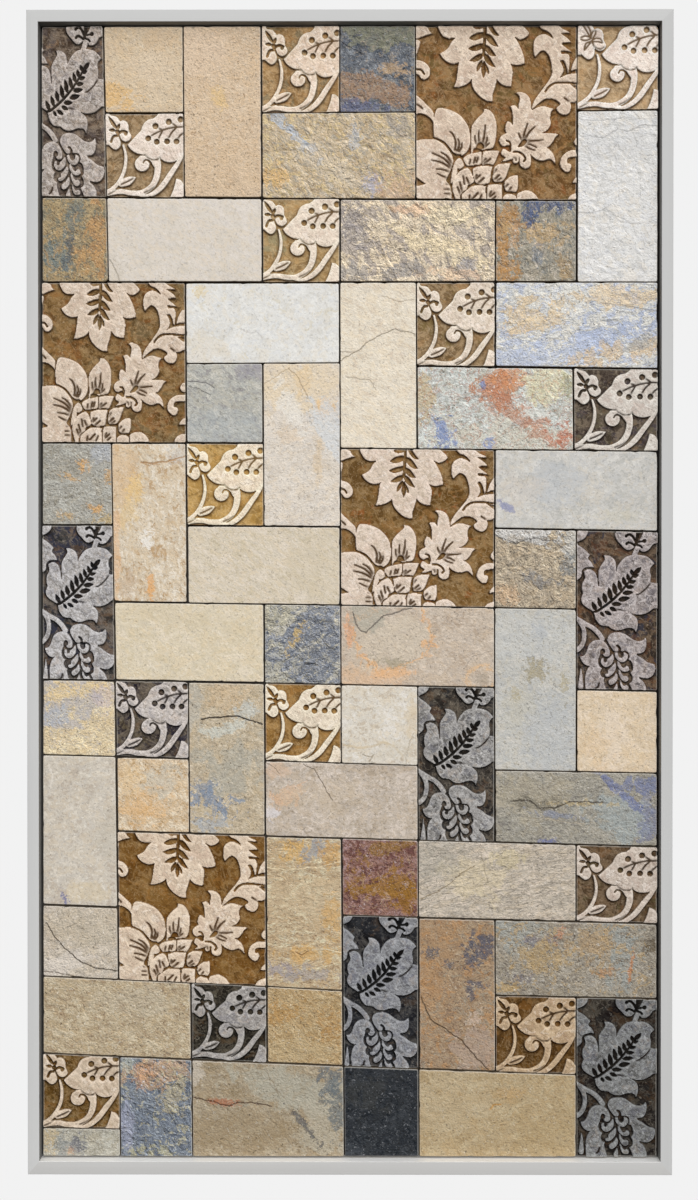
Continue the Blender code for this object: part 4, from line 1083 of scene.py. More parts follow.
def crack(shade, places, width=1.0, strength=0.8, wander=5.0, step=-0.4):
    """A crack through places in hundredths of the stone; width and wander in millimetres."""
    def lay(work):
        place = work.group(
            wandering_place, Size=13.0 * MM, Amount=1.8 * wander * MM, Seed=work.next_seed())["Place"]
        mask = None
        points = [work.point(*knot) for knot in places]
        for start, end in zip(points, points[1:]):
            run = work.group(crack_run, Place=place, From=start, To=end, Width=0.8 * width * MM)["Mask"]
            mask = run if mask is None else work.math("MAXIMUM", mask, run)
        work.tint(mask, shade, strength, step)
    return lay


LAYERS = {"patch": patch, "ring": ring, "blotches": blotches, "veins": veins, "crack": crack}


def values_of(text):
    """Words as tuples of numbers: a shade has three, a place has two and a plain value has one."""
    return [tuple(float(number) for number in word.split(",")) for word in text.split()]


def layers_of(text):
    """Layers, one to a line: a kind, a shade, any places, and values in the order its function takes."""
    layers = []
    for line in text.strip().splitlines():
        kind, rest = line.split(maxsplit=1)
        shade, *values = values_of(rest)
        places = [value for value in values if len(value) == 2]
        numbers = [value[0] for value in values if len(value) == 1]
        layers.append(LAYERS[kind](shade, *([places] if places else []), *numbers))
    return layers


# ---------------------------------------------------------------- how each plain stone is finished
# code: (face, mottle "light middle dark size stretch turn", grain, layers)
# The shades and the grain weren't chosen by hand: the first values were written from a separate program's
# samples, and others then scaled them, stone by stone, several times. Many of the layers' places were
# written from those samples too. The kinds of layer were chosen one by one.
HONED = ("honed", 0.25, 0.0)
TUMBLED = ("tumbled", 0.45, 0.0)

PLAIN_FINISHES = {
    "P01": (TUMBLED, "217,198,171 213,193,165 209,187,158 26 1 0", 0.28, """
        patch 222,182,123 6,82 30,18 1 0.35 0.75 8
        patch 209,182,149 72,14 24,14 0.6 0.7 0.5
        patch 223,204,179 62,48 26,20 0.5 0.7 0.5"""),
    "P02": (TUMBLED, "220,197,169 214,191,163 206,181,152 15 1 0", 0.29, """
        blotches 158,128,98 3.6 0.045 0.75 1 0 0.012
        blotches 229,211,188 5 0.06 0.6 1 0 0.015
        patch 227,193,134 46,42 10,6 0.8 0.6 0.6 -30
        patch 224,201,176 22,14 30,14 0.6 0.8 0.6
        patch 208,183,153 50,88 60,18 0.6 0.8 0.4"""),
    "P03": (("riven", 0.7, 10.0), "134,138,143 104,108,115 76,82,90 20 1 0", 0.403, """
        patch 138,137,117 60,4 75,19 0.8 0.06 0.85 3 0.3
        patch 162,133,108 32,74 52,17 0.9 0.08 0.85 8 0.3
        patch 185,156,122 74,50 20,6 1.3 0.15 0.8 5
        patch 109,112,134 22,96 34,10 0.8 0.2 0.9
        blotches 182,167,149 6 0.1 0.5
        veins 159,148,132 26 0.018 0.5
        crack 54,53,56 0,18 16,26 32,33 1.2"""),
    "P04": (("riven", 0.45, -40.0), "219,202,177 200,181,151 176,155,127 15 1.3 40", 0.352, """
        blotches 166,162,153 11 0.26 0.6 2.6 42 0.02 -0.2
        blotches 219,195,143 14 0.24 0.6 1.8 42
        patch 183,192,204 27,36 22,6 1.3 0.2 0.85 46 -0.3
        patch 186,191,199 60,30 4,16 1.2 0.3 0.7
        patch 169,173,197 72,84 5,10 1.2 0.3 0.7
        patch 228,183,113 8,76 9,12 1 0.5 0.6
        patch 141,139,140 92,22 10,18 1.2 0.5 0.5
        patch 207,169,140 90,88 14,16 1 0.5 0.5
        patch 222,207,185 44,62 22,14 1 0.4 0.5 30
        veins 154,145,132 13 0.012 0.5 1.8 42"""),
    "P05": (("riven", 0.6, 15.0), "234,232,229 224,222,219 210,208,204 16 1.2 20", 0.196, """
        crack 182,180,177 8,14 30,16 48,11 62,12 80,9 99,9 1.6
        crack 196,194,191 5,5 30,6 55,4 85,5 1.4 0.6
        patch 210,209,208 40,20 45,10 0.8 0.6 0.5
        blotches 204,202,197 9 0.12 0.5 1.5 20
        crack 202,200,197 0,59 16,60 34,57 50,62 70,66 99,65 1.8 0.6 5 0.5
        crack 207,205,201 12,20 20,26 40,24 52,18 1.6 0.5 5 0.4"""),
    "P06": (TUMBLED, "188,166,128 164,145,112 139,123,100 13 1 0", 0.51, """
        blotches 120,122,110 9 0.25 0.7
        patch 111,127,130 20,70 18,20 1.5 0.2 0.75 20
        patch 90,97,104 42,56 5,32 2 0.2 0.7 6
        patch 114,126,125 50,20 12,16 1.6 0.25 0.6
        patch 194,147,98 88,58 12,50 1.3 0.2 0.65
        patch 202,150,94 66,74 12,18 1.4 0.4 0.5
        blotches 184,151,108 14 0.18 0.6 0.6
        veins 90,95,94 14 0.02 0.5 0.6 10"""),
    "P07": (HONED, "225,216,206 220,211,199 213,204,191 42 1.8 35", 0.0704, """
        veins 211,201,187 30 0.012 0.5 2.5 35
        crack 152,142,127 1,74 4,84 7,99 1.6 0.9 2
        patch 210,200,185 4,90 6,14 0.5 0.5 0.5"""),
    "P08": (("riven", 0.8, -38.0), "242,225,198 222,205,179 199,183,163 13 1.2 38", 0.44, """
        blotches 176,165,156 24 0.34 0.85 1.7 42 0.012 -0.4
        patch 158,151,150 10,34 9,34 0.9 0.15 0.8 -35
        patch 156,151,148 40,86 13,10 0.9 0.12 0.85 -20
        patch 160,156,154 6,90 10,12 1 0.2 0.7
        patch 168,165,168 80,74 10,6 1 0.15 0.7 20
        patch 230,192,158 46,12 12,7 1.2 0.2 0.7
        patch 240,221,182 62,56 26,12 0.9 0.2 0.6 20 0.3
        patch 244,227,190 72,18 20,12 1 0.2 0.6 0 0.3
        patch 232,198,166 72,92 16,6 1.2 0.2 0.6
        veins 146,133,118 15 0.014 0.7 1.3 40 -0.3"""),
    "P09": (("riven", 0.5, 80.0), "188,178,164 159,153,139 127,128,123 18 0.6 0", 0.46, """
        patch 184,137,82 10,66 13,60 1.2 0.25 0.85
        patch 184,137,86 26,30 7,22 1.4 0.3 0.7
        patch 197,165,119 64,40 34,14 1.3 0.3 0.7 10
        patch 85,99,131 43,8 11,22 0.9 0.1 0.95 0 -0.3
        patch 87,99,128 76,4 26,9 1.1 0.1 0.9 8 -0.3
        patch 123,131,143 52,66 5,16 1.3 0.3 0.6
        patch 178,146,101 86,84 7,14 1.4 0.4 0.6
        veins 190,177,156 16 0.02 0.5 0.6
        blotches 124,116,104 5 0.12 0.5 0.6"""),
    "P10": (HONED, "233,231,226 226,224,219 219,216,209 30 1 0", 0.0884, """
        patch 225,205,163 9,9 4,7 1.2 0.5 0.7
        blotches 217,207,183 16 0.08 0.5
        patch 223,213,197 10,82 18,22 0.8 0.6 0.6
        crack 209,205,199 35,58 42,64 46,60 50,70 1.2 0.5"""),
    "P11": (("tumbled", 0.55, 0.0), "239,228,210 230,219,200 216,201,181 24 1.8 30", 0.17, """
        veins 208,194,170 20 0.014 0.5 1.8 30
        crack 153,140,120 0,47 20,42 38,35 72,28 99,31 1.5 0.85 4
        crack 172,158,137 7,57 38,59 48,65 1.2 0.6 4
        crack 170,153,132 0,42 18,42 1.2 0.7 3
        crack 180,163,139 55,8 80,12 99,10 1 0.6 4"""),
    "P12": (("waved", 0.35, 8.0), "232,229,222 219,217,211 198,200,202 22 1.6 -8", 0.34, """
        blotches 187,196,218 15 0.36 0.7 1.6 -8 0.02 -0.2
        patch 183,193,217 70,60 34,14 1.3 0.15 0.9 -14 -0.3
        patch 189,197,216 22,88 26,10 1.2 0.2 0.8 -6
        patch 232,229,220 44,18 22,18 0.9 0.4 0.7
        patch 225,200,162 24,42 18,18 1 0.15 0.85 -10 0.3
        ring 200,169,122 24,42 18,18 1 0.06 0.6 -10
        patch 225,202,168 78,17 32,12 1.1 0.15 0.8 -4 0.3
        patch 219,194,160 76,84 26,11 1.3 0.15 0.85 -14 0.2
        patch 181,177,170 88,72 11,7 0.9 0.15 0.85 -12 -0.2
        ring 198,181,164 6,42 8,13 0.4 0.12 0.6
        veins 175,175,184 22 0.012 0.6 1.6 -8 -0.3
        veins 240,238,228 16 0.014 0.6 1.4 20 0.2
        crack 160,154,154 64,24 78,27 99,33 1 0.6 3"""),
    "P13": (("tumbled", 0.5, 0.0), "204,200,190 182,181,173 157,153,151 20 1.6 30", 0.167, """
        crack 101,98,99 0,22 12,24 26,23 36,30 1.3
        crack 110,108,106 4,29 16,33 32,40 1.2 0.7
        patch 151,146,157 92,8 20,14 0.7 0.6 0.6
        patch 175,181,184 50,84 60,24 0.5 0.8 0.4"""),
    "P14": (("tumbled", 0.5, 0.0), "229,219,206 220,210,197 208,196,181 24 1.4 -20", 0.202, """
        patch 228,209,179 50,12 70,18 0.6 0.5
        patch 233,192,136 78,27 14,6 0.8 0.5 0.7 20
        patch 224,197,156 50,10 14,8 0.9 0.5 0.6
        patch 212,214,215 86,40 20,20 0.7 0.35 0.8 -20
        patch 233,228,219 36,29 13,15 0.8 0.4 0.7 -30
        patch 216,190,152 72,60 5,14 0.9 0.5 0.5
        patch 219,197,170 32,44 16,4 0.9 0.5 0.5
        crack 167,142,108 34,3 44,8 52,14 58,22 1.1 0.6
        crack 179,155,122 0,12 14,9 24,5 34,3 1 0.5 4"""),
    "P15": (("waved", 0.35, 30.0), "220,223,217 201,203,197 174,172,161 20 1.2 20", 0.34, """
        patch 196,178,145 4,34 7,24 1.2 0.1 0.85
        patch 206,199,182 72,86 46,20 1.2 0.2 0.7
        patch 191,131,96 52,24 12,24 1.2 0.12 0.85 -10 -0.2
        patch 208,148,106 58,12 12,14 1.2 0.12
        patch 220,212,177 84,18 15,18 1.2 0.2 0.75
        patch 189,134,106 68,58 24,11 1.9 0.1 0.7 32
        veins 167,91,56 12 0.03 0.5 1.3 -30
        patch 218,217,209 76,54 7,7 1.5 0.1 0.9
        patch 189,110,81 95,86 7,13 1.8 0.1 0.75
        patch 134,148,185 15,80 6,18 1.3 0.05 0.95 -15
        patch 129,143,182 42,21 2,5 1 0.1 0.9
        patch 140,153,192 46,93 3,7 1.2 0.1 0.85
        ring 163,163,152 38,52 8,20 0.6 0.05 0.5 -20
        patch 163,161,124 97,20 4,14 1.2 0.2 0.6"""),
    "P16": (TUMBLED, "182,180,171 166,162,152 147,142,129 15 1.2 0", 0.47, """
        patch 176,180,188 88,12 18,18 0.8 0.5 0.6
        patch 213,166,108 60,27 7,7 1.2 0.3 0.85
        patch 201,163,114 38,41 11,4 1.4 0.3 0.8 15
        patch 208,161,102 76,81 13,4 1.2 0.3 0.85 10
        patch 198,163,111 34,88 12,4 1.4 0.3 0.7 10
        patch 208,163,104 96,42 5,8 1.2 0.3 0.7
        patch 192,166,116 90,94 14,7 1.2 0.4 0.7
        blotches 218,216,207 5 0.04"""),
    "P17": (("tumbled", 0.5, 0.0), "230,219,202 213,197,173 191,162,127 26 1.4 70", 0.166, """
        patch 215,183,143 10,18 22,26 0.7 0.6 0.6
        patch 230,195,133 30,28 12,7 0.9 0.5 0.7 20
        patch 225,197,148 24,43 12,10 0.9 0.5 0.6 20
        patch 239,235,228 48,61 6,6 1.2 0.3 0.85 15
        patch 225,166,101 50,91 5,8 0.8 0.4
        patch 196,173,148 16,88 14,7 1 0.4 0.6 30
        patch 225,183,141 4,70 6,30 0.6 0.6 0.6
        patch 206,202,196 88,6 14,6 1 0.4 0.6
        crack 165,120,72 40,12 58,12 72,11 86,10 99,8 2 0.75 4
        crack 182,142,99 40,12 50,14 62,13 1.6 0.6 4"""),
    "P18": (HONED, "215,212,206 204,201,195 190,188,182 28 1.2 0", 0.0961, """
        patch 188,191,194 36,44 16,26 0.7 0.6 0.6
        patch 211,200,187 16,48 12,18 0.7 0.6 0.4
        patch 148,151,179 6,72 6,5 0.9 0.15 0.9 28
        patch 199,193,172 75,82 10,8 1 0.6 0.4"""),
    "P19": (HONED, "225,213,196 216,204,184 204,191,166 24 2 35", 0.138, """
        veins 201,188,164 26 0.012 0.5 2 35
        patch 208,195,171 86,56 20,40 0.7 0.6 0.5"""),
    "P20": (("riven", 0.6, 0.0), "201,186,161 178,163,142 144,135,120 12 1 0", 0.51, """
        patch 206,204,201 30,3 60,13 0.7 0.1 0.9 6 0.5
        patch 206,204,198 96,20 12,24 0.8 0.15 0.8 0 0.4
        crack 94,91,88 0,8 14,15 26,17 40,12 55,10 62,14 74,14 84,22 92,30 1.8 0.7 6
        patch 118,122,125 88,48 9,14 1.3 0.3
        patch 130,132,136 54,64 18,7 1.3 0.3 0.7 15
        patch 198,164,130 14,84 14,12 1 0.4 0.6
        blotches 122,108,91 4 0.14"""),
    "P21": (HONED, "227,214,192 218,205,180 209,195,167 24 1.4 20", 0.134, """
        blotches 235,226,207 6 0.03 0.7
        patch 209,194,165 46,20 44,10 0.9 0.6 0.4 10"""),
    "P22": (("riven", 0.5, -30.0), "154,157,164 136,140,148 110,115,125 18 1.3 -30", 0.56, """
        blotches 189,184,171 34 0.3 0.85 1.4 -35 0.015 0.3
        blotches 108,113,123 26 0.24 0.85 1.4 -35 0.015 -0.2
        patch 180,174,154 10,14 22,20 1.3 0.12 0.85
        patch 178,174,160 12,84 20,22 1.4 0.12 0.85
        patch 110,115,125 58,62 26,26 1.3 0.15 0.7
        veins 211,198,160 18 0.012 0.75 2.2 -35
        veins 224,217,205 12 0.007 0.7 1.6 50
        patch 202,172,113 42,40 4,16 1.8 0.1 0.8 30"""),
    "P23": (HONED, "212,197,180 198,183,166 184,166,147 30 1.3 10", 0.22, """
        patch 217,183,150 16,90 26,14 0.6 0.6 0.7
        patch 210,197,177 31,44 26,30 0.5 0.4 0.6
        ring 227,176,124 33,38 27,42 0.35 0.11 0.75 -10
        patch 227,181,136 34,84 14,7 0.6 0.5 0.7 -4
        patch 227,169,126 5,30 3,24 0.6 0.5 0.7
        patch 179,173,158 17,10 13,20 0.5 0.12 0.8 20 -0.3
        crack 100,94,87 8,8 9,22 13,32 16,34 20,26 28,12 38,6 46,2 1.8 0.8 4
        patch 172,161,138 33,71 9,5 1.3 0.3 0.8 10 -0.3
        ring 220,183,141 92,88 10,14 0.4 0.3
        patch 172,159,143 92,90 5,7 0.6 0.4 0.7
        crack 174,161,148 80,78 86,62 99,54 1.1 0.6 3"""),
    "P24": (TUMBLED, "203,199,191 194,192,185 182,181,178 26 1.2 0", 0.203, """
        patch 185,187,188 72,76 40,26 0.6 0.6 0.6
        patch 199,199,196 36,18 50,14 0.7 0.6 0.5
        patch 193,187,170 30,62 20,12 0.8 0.6 0.5
        patch 169,157,127 50,38 11,5 1.4 0.3 0.8 45 -0.3
        blotches 155,147,127 5 0.05
        patch 175,163,133 26,52 5,4 1.4 0.3 0.7
        patch 175,163,133 86,46 5,5 1.4 0.3 0.7
        patch 175,179,184 56,14 7,5 1 0.4 0.6"""),
    "P25": (TUMBLED, "234,218,183 218,199,164 195,177,146 16 1.1 0", 0.391, """
        patch 186,179,174 30,20 50,28 1.2 0.15 0.9 10
        patch 175,179,187 16,46 18,12 1.5 0.15
        patch 226,200,150 42,12 36,9 1.4 0.3 0.8 -10
        patch 198,183,183 88,22 16,16 0.9 0.4 0.6
        veins 170,174,186 13 0.025 0.5 1.4 20"""),
    "P26": (("tumbled", 0.7, 0.0), "208,194,171 191,176,151 168,153,131 15 1.1 0", 0.31, """
        patch 180,177,168 6,14 12,18 0.9 0.4 0.6
        patch 207,180,144 46,10 32,9 1 0.5 0.5
        patch 202,204,195 44,31 24,4 1.1 0.3 0.8 -6
        patch 197,199,193 78,18 16,5 1.1 0.3
        patch 166,168,161 60,56 40,16 1 0.5 0.5
        patch 127,141,161 30,80 30,8 1.3 0.2 0.85 10
        patch 127,141,161 18,70 16,4 1.6 0.3 0.7
        patch 171,177,183 24,94 22,7 1.1 0.3 0.7
        patch 202,184,151 20,84 10,3 1.2 0.3 0.7
        crack 52,46,41 17,24 31,23 50,22 64,21.5 80,24 97,26.5 2 0.95 3 -0.9"""),
    "P27": (HONED, "227,221,212 217,209,195 200,187,169 34 1.2 0", 0.0996, """
        crack 201,179,141 3,76 20,80 38,78 55,72 68,76 80,88 3.2 0.5 4 0
        patch 211,191,159 92,44 8,26 0.8 0.5 0.5
        crack 152,136,111 28,89 38,91 42,88 36,97 1.6 0.7 3
        crack 182,167,141 84,99 86,86 90,70 95,60 1.2 0.5 4
        patch 206,198,183 60,84 36,8 0.8 0.5 0.4"""),
    "P28": (TUMBLED, "227,209,186 218,199,172 208,187,158 20 1 0", 0.183, """
        patch 228,212,193 44,54 14,40 1 0.6 0.6
        patch 218,188,149 24,72 18,22 1 0.6 0.4"""),
    "P29": (HONED, "218,209,195 204,195,181 190,178,163 26 1.2 0", 0.109, """
        patch 210,193,163 56,92 36,6 0.8 0.5 0.6
        patch 114,115,156 29,95 4,5 1 0.2 0.9 -20
        patch 191,183,168 90,54 20,16 0.8 0.6 0.5
        blotches 229,224,213 5 0.04
        crack 229,221,209 8,6 13,14 10,22 2.6 0.6 4 0.2"""),
    "P30": (TUMBLED, "229,214,190 209,187,157 186,156,117 16 1.2 30", 0.259, """
        patch 202,195,180 60,34 18,26 1.1 0.5 0.7 30
        patch 219,176,122 40,66 26,20 1.1 0.5 0.6
        patch 223,193,149 20,30 16,20 1.1 0.5 0.5
        crack 178,143,98 44,10 56,16 64,14 1.4 0.5"""),
    "P31": (TUMBLED, "212,199,186 193,180,165 174,159,141 22 1.2 0", 0.169, """
        patch 212,176,143 12,48 12,12 1 0.4 0.8 -20
        patch 207,176,148 8,12 8,10 1 0.5 0.6
        patch 203,186,163 40,44 22,18 0.9 0.6 0.5
        patch 217,212,214 4,70 5,8 0.9 0.4 0.7
        crack 121,108,93 25,2 32,9 38,30 44,50 1.2 0.85 3
        crack 227,212,194 20,78 27,74 34,82 44,66 1.4 0.6 4 0.2
        crack 137,120,103 1,3 6,8 9,16 1.2 0.7"""),
    "P32": (("tumbled", 0.7, 0.0), "174,168,156 156,151,139 135,130,123 16 1.3 0", 0.43, """
        patch 176,165,143 20,30 26,26 0.9 0.5 0.5
        patch 162,170,170 80,62 24,26 0.7 0.4 0.7 20
        patch 119,126,159 76,24 20,6 0.8 0.15 0.85 38
        patch 121,128,157 92,16 12,12 0.9 0.2 0.85
        patch 124,129,155 96,64 7,30 1.2 0.3 0.7
        patch 131,139,161 40,60 16,4 1.4 0.4 0.6 8
        patch 194,170,120 50,44 14,3 1.4 0.4 0.6
        patch 108,103,91 26,46 14,8 1.2 0.4 0.6
        crack 69,62,54 10,42 20,41 28,52 36,50 46,42 56,40 66,42 1.8 0.8 4 -0.6
        crack 199,183,159 20,66 34,66 48,72 60,70 1.2 0.5 4
        patch 108,114,159 33,98 5,4 1 0.3"""),
    "P33": (("waved", 0.4, 0.0), "211,200,170 189,168,137 156,132,104 17 2.2 0", 0.247, """
        patch 153,155,160 64,7 20,6 1.2 0.3 0.8 -20
        patch 208,167,102 34,9 16,6 1.3 0.3
        patch 199,155,93 84,10 14,7 1.3 0.3 0.7
        patch 201,181,150 50,40 60,14 0.8 0.6 0.5
        patch 203,160,97 88,52 12,12 1.1 0.4 0.6
        patch 206,164,102 52,78 40,5 1.1 0.4 0.7
        patch 160,152,155 16,88 20,4 1.4 0.3
        patch 163,157,155 60,91 30,4 1.4 0.3 0.7
        crack 229,210,174 0,20 26,22 56,20 80,18 99,15 1.6 0.7 5 0.3
        crack 231,217,186 60,74 80,73 99,75 1.4 0.7 3 0.3
        crack 115,81,50 38,76 46,78 56,75 1.6 0.7 3"""),
    "P34": (TUMBLED, "164,134,132 141,108,97 116,79,69 16 1.2 0", 0.464, """
        blotches 101,67,63 13 0.3 0.85 1.2 30 0.015 -0.3
        patch 152,113,54 58,60 40,18 1.4 0.15 0.85 10
        patch 147,106,47 84,76 16,18 1.4 0.15 0.75
        patch 149,115,61 62,9 26,8 1.3 0.15 0.75 -15
        blotches 173,144,119 9 0.1 0.7 1 0 0.015 0.2"""),
    "P35": (("waved", 0.75, 8.0), "214,200,184 193,182,166 171,161,149 20 2.6 -8", 0.23, """
        veins 147,138,122 20 0.02 0.55 3.5 -8 -0.3
        patch 215,199,166 34,54 18,26 0.8 0.6 0.6 20
        patch 215,199,156 58,20 10,10 0.9 0.5 0.5
        patch 165,160,149 10,22 16,24 0.8 0.6 0.5
        crack 145,126,96 2,76 12,66 20,54 28,40 36,32 1.4 0.7 4
        crack 152,138,114 40,16 42,34 44,52 1.2 0.5 4"""),
    "P36": (("tumbled", 0.7, 0.0), "214,202,185 200,188,172 184,173,157 18 1.3 -30", 0.377, """
        patch 188,175,153 60,30 50,30 0.9 0.6 0.5
        veins 135,130,118 12 0.02 0.6 1.2 40
        patch 219,210,200 26,84 40,14 0.7 0.5 0.6 -20
        crack 83,75,62 4,24 14,42 28,58 44,73 58,80 71,86 99,88 1.5 0.9 4 -0.9
        crack 111,100,88 0,94 20,95 40,99 1.6 0.8 3
        crack 120,112,99 30,30 44,24 56,34 1.2 0.5"""),
    "P37": (("tumbled", 0.5, 0.0), "172,151,125 157,134,109 138,115,94 20 1.2 0", 0.35, """
        blotches 175,133,91 16 0.22 0.6 1.2 20 0.02
        blotches 150,142,127 14 0.16 0.6 1.2 20 0.02
        patch 172,137,101 22,14 26,14 0.9 0.5 0.5
        patch 176,135,93 14,44 18,16 0.9 0.5 0.5
        patch 174,155,141 72,86 32,14 0.9 0.5 0.6
        patch 88,89,101 82,17 17,7 1.2 0.15 0.9 -18 -0.2
        patch 92,93,103 72,27 10,4 1.6 0.2 0.85 -30
        patch 94,96,103 16,23 9,3 1.6 0.2 0.85
        patch 96,96,103 40,30 6,2 1.6 0.2 0.8 20
        patch 90,91,101 78,43 12,2 1.4 0.2 0.85 14
        patch 90,91,101 68,48 4,5 1.4 0.2 0.85 -20
        patch 198,179,163 72,66 6,5 1.8 0.3 0.7 20
        crack 189,166,138 20,25 34,34 50,48 58,60 1.2 0.6 4 0.2
        crack 86,69,53 2,52 8,60 14,67 34,73 57,81 76,92 90,99 1.6 0.9 3 -0.7"""),
    "P38": (TUMBLED, "177,169,156 155,147,133 127,118,107 15 1.2 0", 0.51, """
        patch 157,160,155 10,18 14,22 1.2 0.2 0.7
        patch 153,158,155 76,30 10,40 1.2 0.2 0.7
        blotches 175,151,115 16 0.16 0.7 1.3 -25 0.015 0.1
        patch 177,151,109 28,46 16,18 1.2 0.4 0.75 -15
        patch 177,148,109 60,30 12,22 1.3 0.4 0.6
        patch 192,136,101 40,14 2,9 1.8 0.1 0.7 25
        patch 190,129,85 84,60 1,18 1.2 0.3 0.8 8
        patch 180,136,95 68,66 5,5 1.5 0.3 0.7
        patch 106,101,119 24,24 8,5 1.6 0.3 0.6
        patch 115,111,119 16,76 7,5 1.6 0.3 0.6
        patch 91,77,56 97,30 4,9 1 0.3
        patch 185,151,91 6,90 7,7 1.2 0.4 0.6
        veins 123,111,92 20 0.014 0.5"""),
    "P39": (TUMBLED, "201,187,161 181,164,136 158,137,111 18 1.3 15", 0.4, """
        patch 185,174,154 60,24 30,20 1 0.6 0.5
        veins 199,186,160 20 0.012 0.5"""),
    "P40": (TUMBLED, "189,167,131 175,150,112 162,135,94 13 1.3 20", 0.45, """
        patch 175,135,81 20,34 24,14 1.2 0.4 0.7 -15
        patch 171,131,79 84,46 14,24 1.2 0.4 0.6
        veins 208,192,157 12 0.025 0.6 1.3 20
        blotches 139,111,77 5 0.08 0.5
        patch 187,168,133 46,84 40,14 1 0.5 0.5"""),
    "P41": (("riven", 0.5, 60.0), "133,140,149 115,122,132 97,103,115 15 1.3 60", 0.528, """
        patch 182,154,126 48,13 42,14 1.1 0.2 0.9 -8 0.2
        patch 199,151,114 36,18 16,9 1.2 0.4 0.6
        patch 170,159,133 72,34 18,14 1.8 0.2
        blotches 179,172,145 9 0.14 0.7 1.2 60 0.015
        patch 176,178,166 8,6 12,7 1 0.3 0.7
        patch 151,154,171 8,70 12,26 0.8 0.3
        patch 172,166,133 30,95 26,5 1.6 0.3 0.7
        blotches 199,205,210 4 0.03 0.7"""),
    "P42": (("tumbled", 0.6, 0.0), "177,164,141 161,146,123 144,128,102 20 1.3 20", 0.32, """
        patch 172,168,153 62,26 34,20 0.7 0.5 0.8 10
        patch 178,170,152 86,72 16,26 0.9 0.4 0.7 30
        patch 103,111,116 93,16 8,14 1.2 0.2 0.85 0 -0.2
        patch 108,114,116 97,52 6,22 1.2 0.2 0.8 0 -0.2
        patch 151,132,103 30,76 34,20 0.8 0.6 0.5
        patch 165,103,75 20,43 10,4 0.8 0.3 0.75 6
        crack 67,42,28 0,38 6,40 12,42 24,47 30,43 40,42 52,46 1.6 0.8 4 -0.6
        patch 93,93,95 75,68 2,20 1.3 0.2 0.8 -38 -0.5
        crack 142,122,93 48,6 54,22 57,34 1.1 0.5 3
        patch 197,188,175 2,10 5,16 0.9 0.4 0.7"""),
    "P43": (TUMBLED, "63,66,70 47,50,54 31,35,40 16 1.2 0", 0.388, """
        patch 66,66,64 34,26 26,18 1.4 0.4 0.5
        patch 70,74,79 10,92 14,12 1.2 0.4 0.6
        veins 78,80,84 12 0.012 0.5"""),
    "P44": (TUMBLED, "186,169,137 177,157,124 165,144,110 20 1.1 0", 0.287, """
        crack 188,136,64 45,44 47,39 52,38 2.4 0.7 4
        patch 185,151,104 60,24 8,8 1.2 0.5 0.5
        patch 169,147,110 76,70 26,26 1 0.6 0.5
        patch 190,175,147 18,40 20,40 1 0.6 0.4
        blotches 147,117,74 3 0.05 0.5"""),
    "P45": (TUMBLED, "187,184,172 173,168,154 149,144,130 16 1.3 0", 0.4, """
        patch 191,170,132 9,40 9,40 1.2 0.2 0.7
        patch 140,142,140 25,66 7,34 1.3 0.1 0.85
        patch 113,113,118 46,58 8,40 1.5 0.08 0.95
        patch 187,152,126 36,80 5,12 1.4 0.1 0.7
        veins 198,193,180 12 0.02 0.6 1.2 40"""),
}

# How strongly the edges of split flakes show on each kind of face.
FLAKES = {"riven": 3.6, "waved": 2.6, "tumbled": 1.5, "honed": 1.2}
WHITE, BLACK, EARTH = (255, 255, 255), (0, 0, 0), (60, 40, 20)


def between(first, second, share):
    """A shade this share of the way from the first to the second."""
    return tuple(a + (b - a) * share for a, b in zip(first, second))


def plain_material(code, face):
    """The material of a plain stone from its list of layers."""
    surface, mottle, grain, layers = PLAIN_FINISHES[code]
    light, middle, dark, (size,), (stretch,), (turn,) = values_of(mottle)
    work = StoneWork(f"stone_{code}", face)
    cloud = work.mottle(light, middle, dark, size, stretch, math.radians(turn), work.next_seed())
    work.colour = cloud["Color"]
    work.heights.append((cloud["Height"], 1.2 * grain + 0.1))
    warm = tuple(part * share for part, share in zip(middle, (1.012, 0.99, 0.955)))
    cool = tuple(part * share for part, share in zip(middle, (0.975, 0.985, 1.005)))
    chip, pit = between(light, WHITE, 0.3), between(dark, (50, 40, 30), 0.55)
    work.lay([
        blotches(warm, 14, 0.32, 0.6, stretch, turn, 0.02),
        blotches(cool, 12, 0.25, 0.55, stretch, turn, 0.02),
        *layers_of(layers),
        blotches(chip, 3.4, 0.05, min(0.8, 2.2 * grain), 1.0, 0, 0.012, 0.15),
        blotches(pit, 2.7, 0.035, min(0.8, 2.4 * grain), 1.0, 0, 0.012, -0.2),
    ])
    flake = FLAKES[surface[0]] * grain
    return work.complete(3.0 * grain, flake, 6.0, 1.0 + 0.5 * (stretch - 1.0), turn, 0.62, 0.75, 0.35)


